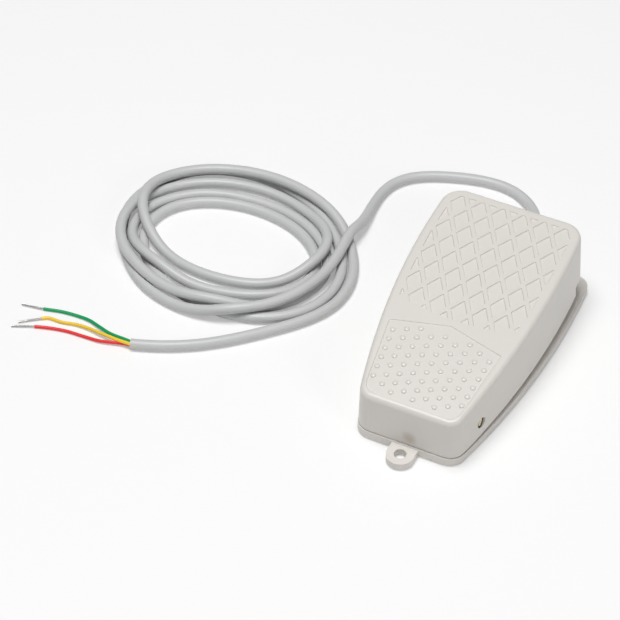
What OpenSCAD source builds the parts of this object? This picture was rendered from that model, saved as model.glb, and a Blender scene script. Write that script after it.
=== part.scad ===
// Industrial foot switch: a hinged pedal cover over a moulded base, a lever
// micro switch inside, and a three-core cord that leaves at the wide end.
// +X is right, +Y runs from the narrow hinge end to the wide cord end, +Z up.
// The origin lies under the middle of the switch, on the surface it stands on.

/* [Pedal cover] */
// Length of the cover from its front wall to its back wall
cover_len = 150; // [146:0.5:154]
// Width of the cover at the narrow hinge end
front_w = 56; // [55:0.5:59]
// Width of the cover at the wide cord end
rear_w = 81.5; // [79:0.5:84]
// How far each long side bows outward from a straight line
side_bow = 6.4; // [5.6:0.1:7.2]
// Radius of the upright corners at the hinge end
front_corner_r = 9; // [8:0.1:10]
// Radius of the upright corners at the cord end
rear_corner_r = 13; // [11:0.5:14]
// Height of the cover's top at its front edge, with the pedal pressed down
front_h = 32.6; // [32:0.1:34]
// Slope of the cover's top along its length, with the pedal pressed down
top_slope = 4.7; // [4.4:0.1:5]
// Height by which the top bows up halfway along
crown = 2.8; // [2:0.1:3.2]
// Radius that rounds the rim of the top
edge_r = 2.4; // [1.8:0.1:3]
// Draft of the outer walls
draft = 2.5; // [1.8:0.1:2.8]
// Thickness of the cover's side walls
wall = 2.4; // [2:0.1:2.6]
// Thickness of the cover's top
top_wall = 2.6; // [2.4:0.1:3]
// Height by which the back wall stops short of the side walls
rear_lift = 7; // [6:0.1:8]
// Length of the side walls up to the raised rear edge
side_run = 132.4; // [128:0.2:136]

/* [Diamond net] */
// Spacing of the diamonds across the pedal
net_a = 12; // [11:0.1:13]
// Spacing of the diamonds along the pedal
net_b = 19.7; // [18:0.1:21]
// Width of the ribs between the diamonds
net_rib = 2; // [1.6:0.1:2.4]
// Depth of the diamonds
net_depth = 0.7; // [0.4:0.1:0.9]
// Distance along the top to the middle of the net's front edge
net_start = 61.4; // [60:0.2:63]
// Distance along the top to the net's back edge
net_end = 143.4; // [140:0.2:144]
// Plain border between the net and the cover's side walls
net_border = 5.5; // [4.6:0.1:6]

/* [Toe panel] */
// Depth of the panel below the top
panel_depth = 0.5; // [0.3:0.1:0.8]
// Distance along the top to the panel's front edge
panel_front = 4.4; // [4:0.1:5]
// Distance along the top to the ends of the chevron
panel_side = 49.9; // [48:0.1:51]
// Distance along the top to the point of the chevron
panel_apex = 57.7; // [55:0.1:59]
// Half width of the panel where its sides meet the chevron
panel_half_w = 31.6; // [30:0.1:32]
// Height of a grip bump above the panel
bump_h = 0.7; // [0.4:0.1:0.9]
// Radius of a grip bump
bump_r = 1.55; // [1.2:0.05:1.8]
// Spacing of the bumps along the pedal
bump_pitch = 6.2; // [5.8:0.1:6.8]

/* [Base] */
// Height of the flange's top above the floor
flange_z = 5.5; // [5.2:0.1:6]
// How far the flange stands out past the cover's front and the front of its sides
flange_out = 0.1; // [0:0.05:0.5]
// How much further it stands out at the cord end
flange_grow = 2.1; // [1:0.1:2.6]
// How far the base runs on behind the cover
rear_ledge = 5.5; // [4:0.5:7]
// Thickness of the base's floor
floor_t = 2.5; // [2:0.1:3]
// Gap between the cover's inner face and the base's upstand wall
upstand_gap = 1.2; // [1:0.1:1.5]
// Thickness of the upstand wall
upstand_t = 1.8; // [1.5:0.1:2]
// Height of the upstand wall's top above the floor at the sides
upstand_z = 12; // [10:0.5:13]
// Height of the upstand wall's top at the cord end
rear_upstand_z = 14.5; // [14:0.1:15.5]
// Radius of the mounting ear
ear_r = 7.4; // [6.5:0.1:8]
// Distance of the ear's hole in front of the cover
ear_y = 6.1; // [5.6:0.1:6.6]
// Thickness of the mounting ear
ear_t = 4.2; // [3.6:0.1:4.6]
// Radius of the ear's hole
ear_hole_r = 3.25; // [2.5:0.05:3.5]
// Height of the rubber feet below the base
foot_out = 0.8; // [0.5:0.1:1.2]
// Radius of a rubber foot
foot_r = 5; // [4:0.1:6]

/* [Hinge and spring] */
// Distance of the hinge pin behind the cover's front wall
pin_y = 22.5; // [21:0.1:24]
// Height of the hinge pin
pin_z = 16; // [15.5:0.1:17]
// Radius of the hinge pin
pin_r = 2.2; // [1.9:0.05:2.3]
// Running clearance of a turning fit
run_fit = 0.05; // [0.03:0.01:0.08]
// Angle by which the pedal stands up when nobody presses it
rest_angle = 3; // [2.8:0.05:3.1]
// Distance of the return spring in front of the cover's back wall
spring_in = 38; // [37.5:0.5:40]
// Outer radius of the return spring
spring_r = 6.5; // [6:0.1:6.8]
// Radius of the spring's wire
spring_wire_r = 0.6; // [0.45:0.05:0.7]
// Number of turns of the return spring
spring_turns = 8; // [7:1:9]
// Height of the spring's upper seat above the floor, at rest
spring_seat_z = 33; // [32:0.5:34]

/* [Micro switch] */
// Distance of the micro switch behind the cover's front wall
sw_y = 40; // [39:0.5:41]
// Height of the micro switch's underside
sw_z = 14.5; // [14.2:0.1:14.8]
// Length of the micro switch
sw_len = 27.8; // [27.4:0.1:28.2]
// Width of the micro switch
sw_w = 10.3; // [10:0.1:10.6]
// Height of the micro switch's case
sw_h = 15.9; // [15.6:0.1:16.2]
// Radius of the screws that hold it
screw_r = 1.45; // [1.3:0.05:1.5]

/* [Cord] */
// Radius of the cord's sheath
cord_r = 3; // [2.8:0.05:3.1]
// Height of the cord where it leaves the base
exit_z = 10; // [9.8:0.1:10.4]
// Radius of an insulated core
core_r = 0.9; // [0.7:0.05:0.95]
// Radius of a bare conductor
bare_r = 0.6; // [0.4:0.05:0.7]
// Length of the tapered strain relief behind the base
relief_len = 21; // [18:1:24]

/* [Hidden] */
$fn = 48;

shell_grey = [0.86, 0.85, 0.83];
steel = [0.72, 0.72, 0.74];
brass = [0.80, 0.66, 0.36];
cord_grey = [0.68, 0.69, 0.70];
red = [0.85, 0.18, 0.18];
yellow = [0.95, 0.78, 0.18];
green = [0.05, 0.55, 0.32];

eps = 0.1;
seat_gap = 0.1;                              // gap between two faces that seat on each other
cover_z = flange_z + 0.3 + pin_y * sin(rest_angle);   // the pressed cover's lower edge
ear_end = ear_y + ear_r;
base_end = cover_len + rear_ledge;
spring_y = cover_len - spring_in;
mid_y = (base_end + relief_len - ear_end) / 2;   // the origin, measured from the front wall

module placed() translate([0, -mid_y, 0]) children();

// ---- Outline ---------------------------------------------------------------
// Half width of the cover's lower edge, and the angle of its side from +Y

function half_w(y, grow = 0) = let (t = y / cover_len)
  front_w / 2 + ((rear_w - front_w) / 2 + grow) * t + side_bow * 4 * t * (1 - t);
function side_angle(y, grow = 0) = let (t = y / cover_len)
  atan(((rear_w - front_w) / 2 + grow + side_bow * 4 * (1 - 2 * t)) / cover_len);

corner_steps = 5;
side_steps = 12;

// Right half of the outline from y0 to y1, moved outward by out, as
// [x, y, outward x, outward y], with corner radii rf in front and rr behind.
// grow moves the rear end of each side outward.
function right_half(y0, y1, out, rf, rr, grow) = let (
    af = side_angle(y0 + rf, grow), ar = side_angle(y1 - rr, grow),
    yf = y0 + rf - rf * sin(af), yr = y1 - rr - rr * sin(ar),
    xf = half_w(yf, grow) + out - rf * cos(af), xr = half_w(yr, grow) + out - rr * cos(ar))
  concat(
    [for (k = [0 : corner_steps - 1]) let (a = -90 + (90 - af) * k / corner_steps)
      [xf + rf * cos(a), y0 + rf + rf * sin(a), cos(a), sin(a)]],
    [for (k = [0 : side_steps]) let (y = yf + (yr - yf) * k / side_steps, a = side_angle(y, grow))
      [half_w(y, grow) + out, y, cos(a), -sin(a)]],
    [for (k = [1 : corner_steps]) let (a = -ar + (90 + ar) * k / corner_steps)
      [xr + rr * cos(a), y1 - rr + rr * sin(a), cos(a), sin(a)]]);
function outline(y0, y1, out, rf, rr, grow = 0) = let (h = right_half(y0, y1, out, rf, rr, grow), n = len(h))
  concat(h, [for (k = [n - 1 : -1 : 0]) [-h[k][0], h[k][1], -h[k][2], h[k][3]]]);
function flat(points) = [for (p = points) [p[0], p[1]]];

// A closed solid through rings of points that lie over each other
module loft(rings) {
  n = len(rings[0]);
  top = (len(rings) - 1) * n;
  walls = [for (k = [0 : len(rings) - 2], i = [0 : n - 1])
    let (a = k * n + i, b = k * n + (i + 1) % n) each [[a, a + n, b + n], [a, b + n, b]]];
  caps = [for (i = [0 : n / 2 - 2]) each
    [[i, i + 1, n - 2 - i, n - 1 - i],
     [top + n - 1 - i, top + n - 2 - i, top + i + 1, top + i]]];
  polyhedron([for (r = rings) each r], concat(walls, caps));
}

// ---- Pedal cover, drawn pressed down and turned up to its rest --------------

function top_z(y) = let (t = y / cover_len) front_h + tan(top_slope) * y + crown * 4 * t * (1 - t);
function cover_ring(inset, below) = [for (p = outline(0, cover_len, 0, front_corner_r, rear_corner_r))
  let (in = inset + tan(draft) * (top_z(p[1]) - below - cover_z), y = p[1] - in * p[3])
    [p[0] - in * p[2], y, top_z(y) - below]];
function foot_ring(inset, z) =
  [for (p = outline(0, cover_len, 0, front_corner_r, rear_corner_r))
    [p[0] - inset * p[2], p[1] - inset * p[3], z]];

module about_pin(angle) translate([0, pin_y, pin_z]) rotate([angle, 0, 0])
  translate([0, -pin_y, -pin_z]) children();
module on_top() translate([0, 0, front_h]) rotate([top_slope, 0, 0]) children();

module cover_outside() loft(concat([foot_ring(0, cover_z)],
  [for (a = [0 : 15 : 90]) cover_ring(edge_r * (1 - cos(a)), edge_r * (1 - sin(a)))]));
module cover_inside() loft([foot_ring(wall, cover_z - 1), cover_ring(wall, top_wall)]);
// What lies above a surface that deep below the top
module above(depth) intersection() {
  linear_extrude(80) children();
  rotate([90, 0, 90]) linear_extrude(2 * rear_w, center = true)
    polygon(concat([for (k = [0 : 8]) let (y = k * cover_len / 8) [y, top_z(y) - depth]], [[cover_len, 90], [0, 90]]));
}

// One diamond with its ribs taken off and its corners rounded
cell_k = 1 - net_rib / 2 / (net_a / 2 * net_b / 2 / norm([net_a / 2, net_b / 2]));
cell_a = atan(net_a / net_b);
cell_r = 0.9;
function cell_corner(turn, reach, half_angle) = let (c = reach - cell_r / sin(half_angle))
  [for (k = [-1 : 1]) let (a = turn + k * (90 - half_angle))
    [c * cos(turn) + cell_r * cos(a), c * sin(turn) + cell_r * sin(a)]];
cell = concat(
  cell_corner(0, cell_k * net_a / 2, 90 - cell_a), cell_corner(90, cell_k * net_b / 2, cell_a),
  cell_corner(180, cell_k * net_a / 2, 90 - cell_a), cell_corner(270, cell_k * net_b / 2, cell_a));

net_bend_r = 135;                            // radius of the net's bowed front edge
module net_field() intersection() {
  polygon(flat(outline(net_start - 4, net_end, -net_border - 1.2, 2, 4)));
  translate([0, net_start + net_bend_r]) circle(net_bend_r, $fn = 120);
}
net_rows = floor((net_end - panel_apex) / net_b * 2) + 1;
net_cols = ceil(rear_w / net_a / 2);
module net() intersection() {
  net_field();
  for (row = [0 : net_rows], col = [-net_cols : net_cols])
    translate([(col + (row % 2 == 0 ? 0.5 : 0)) * net_a, panel_apex + 0.5 + row * net_b / 2]) polygon(cell);
}

// The toe panel: round front corners, tapering sides and a chevron behind
panel_r = 7;
function panel_edge(s) = panel_half_w - 0.125 * (panel_side - s);
module panel() {
  x = panel_edge(panel_front + panel_r) - panel_r;
  arc = [for (a = [-90 : 15 : -7]) [x + panel_r * cos(a), panel_front + panel_r * (1 + sin(a))]];
  right = concat(arc, [[panel_half_w, panel_side], [0, panel_apex]]);
  polygon(concat(right, [for (k = [len(right) - 2 : -1 : 0]) [-right[k][0], right[k][1]]]));
}
chevron = (panel_apex - panel_side) / panel_half_w;
bump_margin = 2.8;
function bump_x(col, s) = col * (5.84 + 0.0203 * s);
bumps = [for (col = [-4 : 4], row = [0 : 8])
  let (s = panel_apex - 5.5 - (row + (col % 2 == 0 ? 0 : 0.5)) * bump_pitch, x = bump_x(col, s))
  if (s > panel_front + 2.2 && abs(x) < panel_edge(s) - bump_margin
      && s < panel_apex - chevron * abs(x) - 2) [x, s]];
module bump() rotate_extrude($fn = 24)
  polygon(concat([[0, -0.3], [bump_r, -0.3]], [for (a = [0 : 22.5 : 90]) [bump_r * cos(a), bump_h * sin(a)]]));

hook_x = 24;
hook_w = 8;
hook_y = cover_len - 9.4;
hook_t = 2;
hook_lip_z = 12.2;                           // top of the lip above the floor, at rest
module cover_hooks() for (side = [-1, 1]) translate([side * hook_x - hook_w / 2, hook_y, 0]) {
  lip = hook_lip_z - (hook_y + hook_t + 1 - pin_y) * sin(rest_angle);
  translate([0, 0, lip - 2.5]) cube([hook_w, hook_t, top_z(hook_y) - top_wall + 0.6 - lip + 2.5]);
  translate([0, 0, lip - 2.5]) cube([hook_w, hook_t + 3.4, 2.5]);
}

lever_y = sw_y + 3.5;                        // the lever's pivot
lever_z = sw_z + sw_h + 1;
lever_arm = 18.5;                            // from the lever's pivot to its roller
roller_y = lever_y + lever_arm;
roller_r = 1.1;
lever_angle = rest_angle * (roller_y - pin_y) / lever_arm;   // the lever's angle at rest
roller_top = lever_z + 1 + roller_r + lever_arm * sin(lever_angle);
boss_in = 27.2;                              // inner face of the hinge bosses
boss_r = 5.5;
pin_bore_x = half_w(pin_y) - 2.2;            // floor of the recess round the pin's end
// Height of the middle of the cover's top wall at rest
function rest_top(y) = top_z(y) + (y - pin_y) * sin(rest_angle) - top_wall / 2;
module cover_bosses() {
  for (side = [-1, 1]) translate([side * boss_in, pin_y, pin_z]) rotate([0, side * 90, 0])
    cylinder(h = pin_bore_x - boss_in, r = boss_r);
  about_pin(-rest_angle) translate([0, spring_y, 0]) {
    translate([0, 0, spring_seat_z - 5]) cylinder(h = 6, r = spring_r - 2 * spring_wire_r - 0.5);
    translate([0, 0, spring_seat_z]) cylinder(h = rest_top(spring_y) - spring_seat_z, r = spring_r + 1);
  }
  about_pin(-rest_angle) translate([-3, roller_y, roller_top + 1.8]) {
    rotate([0, 90, 0]) cylinder(h = 6, r = 1.5);
    translate([0, -1.5, 0]) cube([6, 3, rest_top(roller_y) - roller_top - 1.8]);
  }
  for (x = [-27, -14, 14, 27]) on_top()
    translate([x - 0.8, 40, -top_wall - 2.6]) cube([1.6, cover_len - 58, 5]);
}

module pedal_cover() color(shell_grey) placed() about_pin(rest_angle) {
  difference() {
    union() {
      difference() {
        cover_outside();
        cover_inside();
        translate([-rear_w, side_run, cover_z - eps]) cube([2 * rear_w, cover_len, rear_lift + eps]);
        translate([-grommet_block / 2 - 1.5, cover_len - 12, cover_z])
          cube([grommet_block + 3, 20, exit_z - cover_z + grommet_block / 2 + 1]);
        above(net_depth) scale([1, cos(top_slope)]) net();
        above(panel_depth) scale([1, cos(top_slope)]) panel();
      }
      cover_bosses();
      cover_hooks();
      for (b = bumps) let (y = b[1] * cos(top_slope), slope = atan((top_z(y + 1) - top_z(y - 1)) / 2))
        translate([b[0], y, top_z(y) - panel_depth]) rotate([slope, 0, 0]) bump();
    }
    translate([0, pin_y, pin_z]) rotate([0, 90, 0]) {
      cylinder(h = 2 * rear_w, r = pin_r + run_fit, center = true);
      for (side = [0, 180]) rotate([side, 0, 0]) translate([0, 0, pin_bore_x - 0.3])
        cylinder(h = 10, r = pin_r + 1.05);
    }
  }
}

// ---- Base -------------------------------------------------------------------

function base_outline(inset) = flat(outline(-flange_out + inset, base_end - inset,
  flange_out - inset, front_corner_r + flange_out - inset, rear_corner_r - 5 - inset, flange_grow));
upstand_in = wall + upstand_gap;
function upstand_outline(inset) = flat(outline(upstand_in + inset, cover_len - upstand_in - inset,
  -upstand_in - inset, front_corner_r - upstand_in - inset + 2, rear_corner_r - upstand_in - inset));
feet = [[-18, 16], [18, 16], [-30, cover_len - 24], [30, cover_len - 24]];
foot_in = 1.2;                               // how far a foot sits inside the base
lug_x = 22.4;
lug_t = 4;
lug_r = 6;
clamp_y = cover_len - 16.5;
clamp_x = 8.5;
clamp_len = 7;
clamp_w = 24;
grommet_block = 17;
grommet_r = 4.6;
bracket_x = -sw_w / 2 - seat_gap;
bracket_t = 3;
bracket_z = sw_z + 9.5;
hole_in = 2.8;                               // the micro switch's holes from its ends
sw_holes = [sw_y + hole_in, sw_y + sw_len - hole_in];
hole_r = screw_r + 0.1;

module upstand(z) linear_extrude(z - flange_z + eps) difference() {
  polygon(upstand_outline(0));
  polygon(upstand_outline(upstand_t));
}

module base_underside() translate([0, 0, foot_out - eps]) difference() {
  linear_extrude(flange_z - floor_t - foot_out + eps) polygon(base_outline(4));
  for (x = [-24, 0, 24]) translate([x - 0.8, 0, 0]) cube([1.6, base_end, 5]);
  for (y = [30 : 24 : cover_len - 10]) translate([-rear_w / 2, y - 0.8, 0]) cube([rear_w, 1.6, 5]);
  for (f = feet) translate([f[0], f[1], 0]) cylinder(h = 5, r = foot_r + 2);
  translate([-hook_x - hook_w / 2 - 2, hook_y - 3, 0]) cube([2 * hook_x + hook_w + 4, 20, 5]);
}

module hinge_lugs() for (side = [-1, 1])
  translate([side * (lug_x + lug_t / 2), pin_y, pin_z]) rotate([90, 0, 90]) union() {
    cylinder(h = lug_t, r = lug_r, center = true);
    translate([-lug_r, flange_z - pin_z - eps, -lug_t / 2])
      cube([2 * lug_r, pin_z - flange_z + eps, lug_t]);
  }

module switch_bracket() {
  translate([bracket_x - bracket_t, sw_y - 1, flange_z - eps])
    cube([bracket_t, sw_len + 2, bracket_z - flange_z + eps]);
  for (y = [sw_y + 9, sw_y + 17]) translate([bracket_x - bracket_t + eps, y + 1, flange_z - eps])
    rotate([90, 0, 0]) linear_extrude(2) polygon([[0, 0], [-8, 0], [0, 14]]);
}

module base() color(shell_grey) placed() difference() {
  union() {
    difference() {
      translate([0, 0, foot_out]) linear_extrude(flange_z - foot_out) polygon(base_outline(0));
      base_underside();
    }
    translate([0, 0, foot_out]) linear_extrude(ear_t) union() {
      translate([0, -ear_y]) circle(ear_r);
      translate([-ear_r, -ear_y]) square([2 * ear_r, ear_y + 2]);
    }
    translate([0, 0, flange_z - eps]) upstand(upstand_z);
    intersection() {
      translate([0, 0, flange_z - eps]) upstand(rear_upstand_z);
      translate([-rear_w, side_run, 0]) cube([2 * rear_w, cover_len, 30]);
    }
    hinge_lugs();
    switch_bracket();
    translate([0, spring_y, flange_z - eps]) cylinder(h = 4.5 + eps, r = spring_r + 2.1);
    translate([-clamp_w / 2, clamp_y - clamp_len / 2, flange_z - eps])
      cube([clamp_w, clamp_len, exit_z - 0.4 - flange_z + eps]);
    translate([-grommet_block / 2, cover_len - 9.5, flange_z - eps])
      cube([grommet_block, 9.5 + rear_ledge, exit_z + 5.6 - flange_z + eps]);
  }
  translate([0, -ear_y, 0]) cylinder(h = 10, r = ear_hole_r);
  for (f = feet) translate([f[0], f[1], 0]) cylinder(h = foot_out + foot_in, r = foot_r + seat_gap);
  translate([0, pin_y, pin_z]) rotate([0, 90, 0]) cylinder(h = 2 * rear_w, r = pin_r + run_fit / 2, center = true);
  for (side = [-1, 1]) translate([side * (lug_x + lug_t), pin_y, pin_z]) rotate([0, side * 90, 0])
    cylinder(h = 20, r = boss_r + 0.6);
  for (y = sw_holes) translate([bracket_x - bracket_t - 1, y, sw_z + hole_in]) rotate([0, 90, 0])
    cylinder(h = bracket_t + 2, r = hole_r);
  translate([0, spring_y, flange_z]) cylinder(h = 10, r = spring_r + 0.4);
  translate([0, clamp_y, exit_z]) rotate([90, 0, 0]) cylinder(h = clamp_len + 2, r = cord_r + run_fit, center = true);
  for (side = [-1, 1]) translate([side * clamp_x, clamp_y, flange_z + 0.4]) cylinder(h = 10, r = hole_r);
  translate([0, base_end + 1, exit_z]) rotate([90, 0, 0]) cylinder(h = 30, r = grommet_r);
  for (side = [-1, 1]) translate([side * hook_x - hook_w / 2 - 0.5, hook_y - 0.8, 0])
    cube([hook_w + 1, hook_t + 5, hook_lip_z + 0.3]);
}

module rubber_feet() color([0.12, 0.12, 0.12]) placed() for (f = feet)
  translate([f[0], f[1], 0]) cylinder(h = foot_out + foot_in, r = foot_r);

// ---- Hinge pin, its clips and the return spring ------------------------------

clip_t = 0.8;
clip_x = lug_x - seat_gap - clip_t;
groove_r = pin_r - 0.35;
pin_half = pin_bore_x - 0.2;
module hinge_pin() color(steel) placed() translate([0, pin_y, pin_z]) rotate([0, 90, 0]) difference() {
  cylinder(h = 2 * pin_half, r = pin_r, center = true);
  for (side = [-1, 1]) translate([0, 0, side * (clip_x + clip_t / 2)]) difference() {
    cylinder(h = clip_t + seat_gap, r = pin_r + 1, center = true);
    cylinder(h = clip_t + 1, r = groove_r, center = true);
  }
}
module pin_clips() color(steel) placed() for (side = [-1, 1])
  translate([side * (clip_x + clip_t / 2), pin_y, pin_z]) rotate([0, 90, 0])
    linear_extrude(clip_t, center = true) difference() {
      circle(pin_r + 1.6);
      circle(groove_r + run_fit);
      translate([0, -groove_r]) square([pin_r + 3, 2 * groove_r]);
    }

// A round tube swept along points, with n sides
function unit(v) = v / norm(v);
function heading(p, i) = unit(p[min(i + 1, len(p) - 1)] - p[max(i - 1, 0)]);
module tube(p, r, n = 8) {
  rings = [for (i = [0 : len(p) - 1])
    let (t = heading(p, i), side = unit(cross(t, [0, 0, 1])), up = cross(side, t))
      for (k = [0 : n - 1]) p[i] + r * (cos(360 * k / n) * side + sin(360 * k / n) * up)];
  last = (len(p) - 1) * n;
  walls = [for (i = [0 : len(p) - 2], k = [0 : n - 1])
    let (a = i * n + k, b = i * n + (k + 1) % n) each [[a, b, b + n], [a, b + n, a + n]]];
  caps = [[for (k = [n - 1 : -1 : 0]) k], [for (k = [0 : n - 1]) last + k]];
  polyhedron(rings, concat(walls, caps));
}

// The spring's wire: one closed turn at each end and even pitch between them
function spring_rise(turn, span) = let (w = 2 * spring_wire_r, n = spring_turns)
  turn < 1 ? w * turn : turn > n - 1 ? span - w * (n - turn) : w + (span - 2 * w) * (turn - 1) / (n - 2);
module return_spring() color(steel) placed() {
  span = spring_seat_z - flange_z - 2 * spring_wire_r - 2 * seat_gap;
  r = spring_r - spring_wire_r;
  translate([0, spring_y, flange_z + spring_wire_r + seat_gap])
    tube([for (a = [0 : 30 : 360 * spring_turns]) [r * cos(a), r * sin(a), spring_rise(a / 360, span)]],
      spring_wire_r, 6);
}

// ---- Micro switch -------------------------------------------------------------

lid_t = 1.6;
sw_split = sw_w / 2 - lid_t;                 // plane between the case and its lid
sw_top = sw_z + sw_h;
cavity_z = [sw_z + 5.5, sw_top - 1.6];
lever_w = 4.5;
lever_t = 0.5;
lever_pin_r = 0.5;
plunger_y = lever_y + 11;
plunger_r = 1.5;
contact_y = sw_y + 21.2;
blade_y = sw_y + 7;                          // the blade's pivot
blade_z = sw_z + 10.2;
tab_z = flange_z + 2;                        // lower end of the terminal tabs
tab_w = 4;
tab_t = 0.5;
tabs = [[-tab_t / 2, sw_y + 6], [-2.7, sw_y + 12.5], [2.2, sw_y + 18.6]];

module across(x, y, z, r, h) translate([x, y, z]) rotate([0, 90, 0]) cylinder(h = h, r = r);

module switch_case() color([0.15, 0.15, 0.16]) placed() difference() {
  union() {
    translate([-sw_w / 2, sw_y, sw_z]) cube([sw_split + sw_w / 2, sw_len, sw_h]);
    for (side = [-1, 1]) translate([side * (lever_w / 2 + 0.9) - 0.6, lever_y - 1.6, sw_top - eps])
      cube([1.2, 3.2, 2.1 + eps]);
  }
  translate([-sw_split, sw_y + 2, cavity_z[0]]) cube([2 * sw_split + 1, sw_len - 4, cavity_z[1] - cavity_z[0]]);
  for (y = sw_holes) across(-sw_w, y, sw_z + hole_in, hole_r, 2 * sw_w);
  across(-sw_w, lever_y, lever_z, lever_pin_r + run_fit, 2 * sw_w);
  translate([0, plunger_y, sw_top - 4]) cylinder(h = 10, r = plunger_r + run_fit);
  for (t = tabs) translate([t[0] - run_fit, t[1] - run_fit, sw_z - 1])
    cube([tab_t + 2 * run_fit, tab_w + 2 * run_fit, 8]);
}
module switch_lid() color([0.25, 0.25, 0.26]) placed() difference() {
  translate([sw_split + seat_gap / 2, sw_y, sw_z]) cube([lid_t - seat_gap / 2, sw_len, sw_h]);
  for (y = sw_holes) across(0, y, sw_z + hole_in, hole_r, sw_w);
}
module switch_plunger() color([0.75, 0.2, 0.2]) placed() translate([0, plunger_y, 0]) {
  dome_z = lever_z + (plunger_y - lever_y) * tan(lever_angle)
    - (lever_t / 2 + plunger_r + 0.3) / cos(lever_angle);
  translate([0, 0, dome_z]) sphere(plunger_r);
  translate([0, 0, cavity_z[1] - 1.2]) cylinder(h = dome_z - cavity_z[1] + 1.2, r = plunger_r);
  translate([0, 0, cavity_z[1] - 1.2]) cylinder(h = 0.9, r = plunger_r + 0.9);
  translate([0, 0, blade_z + 0.7]) cylinder(h = cavity_z[1] - blade_z - 1.5, r = 0.7);
}
module switch_lever() color(steel) placed() translate([0, lever_y, lever_z]) rotate([lever_angle, 0, 0]) {
  translate([-lever_w / 2, -0.8, -lever_t / 2]) cube([lever_w, lever_arm + 0.8, lever_t]);
  across(-lever_w / 2, 0, 0, lever_pin_r + 0.3, lever_w);
  across(-lever_w / 2 - 1.5, 0, 0, lever_pin_r, lever_w + 3);
  across(-lever_w / 2, lever_arm, 1, roller_r, lever_w);
}

module contact(z, h) translate([0, contact_y, z]) cylinder(h = h, r = 1.1);
module contact_blade() color(brass) placed() {
  translate([-1.6, blade_y - 0.6, blade_z - 0.1]) cube([3.2, contact_y - blade_y + 2, 0.2]);
  across(-1.6, blade_y, blade_z, 0.3, 3.2);
  contact(blade_z - 0.8, 1.8);
}
module tab(i, top) translate([tabs[i][0], tabs[i][1], tab_z]) cube([tab_t, tab_w, top - tab_z]);
module terminal_common() color(brass) placed() {
  tab(0, blade_z - 0.9);
  translate([-tab_t / 2, blade_y - 0.4, blade_z - 2]) cube([tab_t, 0.8, 1.6]);
}
module terminal_open() color(brass) placed() {
  z = blade_z - 3.5;
  tab(1, z);
  translate([tabs[1][0], tabs[1][1], z - tab_t]) cube([4.2, contact_y + 1.2 - tabs[1][1], tab_t]);
  contact(z - eps, 0.8 + eps);
}
module terminal_closed() color(brass) placed() {
  z = blade_z + 2.1;
  tab(2, z + tab_t);
  translate([-1.5, contact_y - 1.8, z]) cube([tabs[2][0] + tab_t + 1.5, 3, tab_t]);
  contact(z - 0.8, 0.8 + eps);
}

module switch_screws() color(steel) placed() for (y = sw_holes) {
  across(bracket_x - bracket_t - 3.3, y, sw_z + hole_in, screw_r, sw_w + bracket_t + 4);
  difference() {
    across(sw_w / 2 + seat_gap / 2, y, sw_z + hole_in, 2.75, 2);
    translate([sw_w / 2 + 1.2, y - 3, sw_z + hole_in - 0.4]) cube([2, 6, 0.8]);
  }
}
module switch_nuts() color(steel) placed() for (y = sw_holes) difference() {
  translate([bracket_x - bracket_t - seat_gap - 2.4, y, sw_z + hole_in]) rotate([0, 90, 0])
    cylinder(h = 2.4, r = 3.17, $fn = 6);
  across(bracket_x - bracket_t - 4, y, sw_z + hole_in, screw_r + run_fit, 5);
}

// ---- Cord inside the base ------------------------------------------------------

module cable_clamp() color([0.2, 0.2, 0.21]) placed() difference() {
  translate([-clamp_w / 2, clamp_y - clamp_len / 2, exit_z + 0.4]) cube([clamp_w, clamp_len, cord_r + 0.9]);
  translate([0, clamp_y, exit_z]) rotate([90, 0, 0]) cylinder(h = clamp_len + 2, r = cord_r + run_fit, center = true);
  for (side = [-1, 1]) translate([side * clamp_x, clamp_y, exit_z]) cylinder(h = 10, r = hole_r);
}
module clamp_screws() color(steel) placed() for (side = [-1, 1]) translate([side * clamp_x, clamp_y, 0]) {
  head_z = exit_z + cord_r + 1.3 + seat_gap / 2;
  translate([0, 0, flange_z + 0.6]) cylinder(h = head_z - flange_z, r = screw_r);
  difference() {
    translate([0, 0, head_z]) cylinder(h = 2, r = 2.75);
    translate([-3, -0.4, head_z + 1.2]) cube([6, 0.8, 2]);
  }
}
module cord_grommet() color(cord_grey) placed() translate([0, base_end, exit_z]) rotate([-90, 0, 0]) difference() {
  union() {
    translate([0, 0, -14]) cylinder(h = 14, r = grommet_r - run_fit);
    translate([0, 0, seat_gap]) cylinder(h = 2, r = grommet_r + 0.9);
    cylinder(h = relief_len, r1 = grommet_r, r2 = cord_r + 0.8);
    for (k = [1 : 4]) translate([0, 0, 1 + k * relief_len / 5]) cylinder(h = 1.4, r = grommet_r + 0.5 - 0.22 * k);
  }
  translate([0, 0, -15]) cylinder(h = relief_len + 20, r = cord_r + run_fit);
}
sheath_end = spring_y + 14.8;
module cord_inner_end() color(cord_grey) placed() translate([0, base_end, exit_z]) rotate([90, 0, 0])
  cylinder(h = base_end - sheath_end, r = cord_r);

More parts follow.
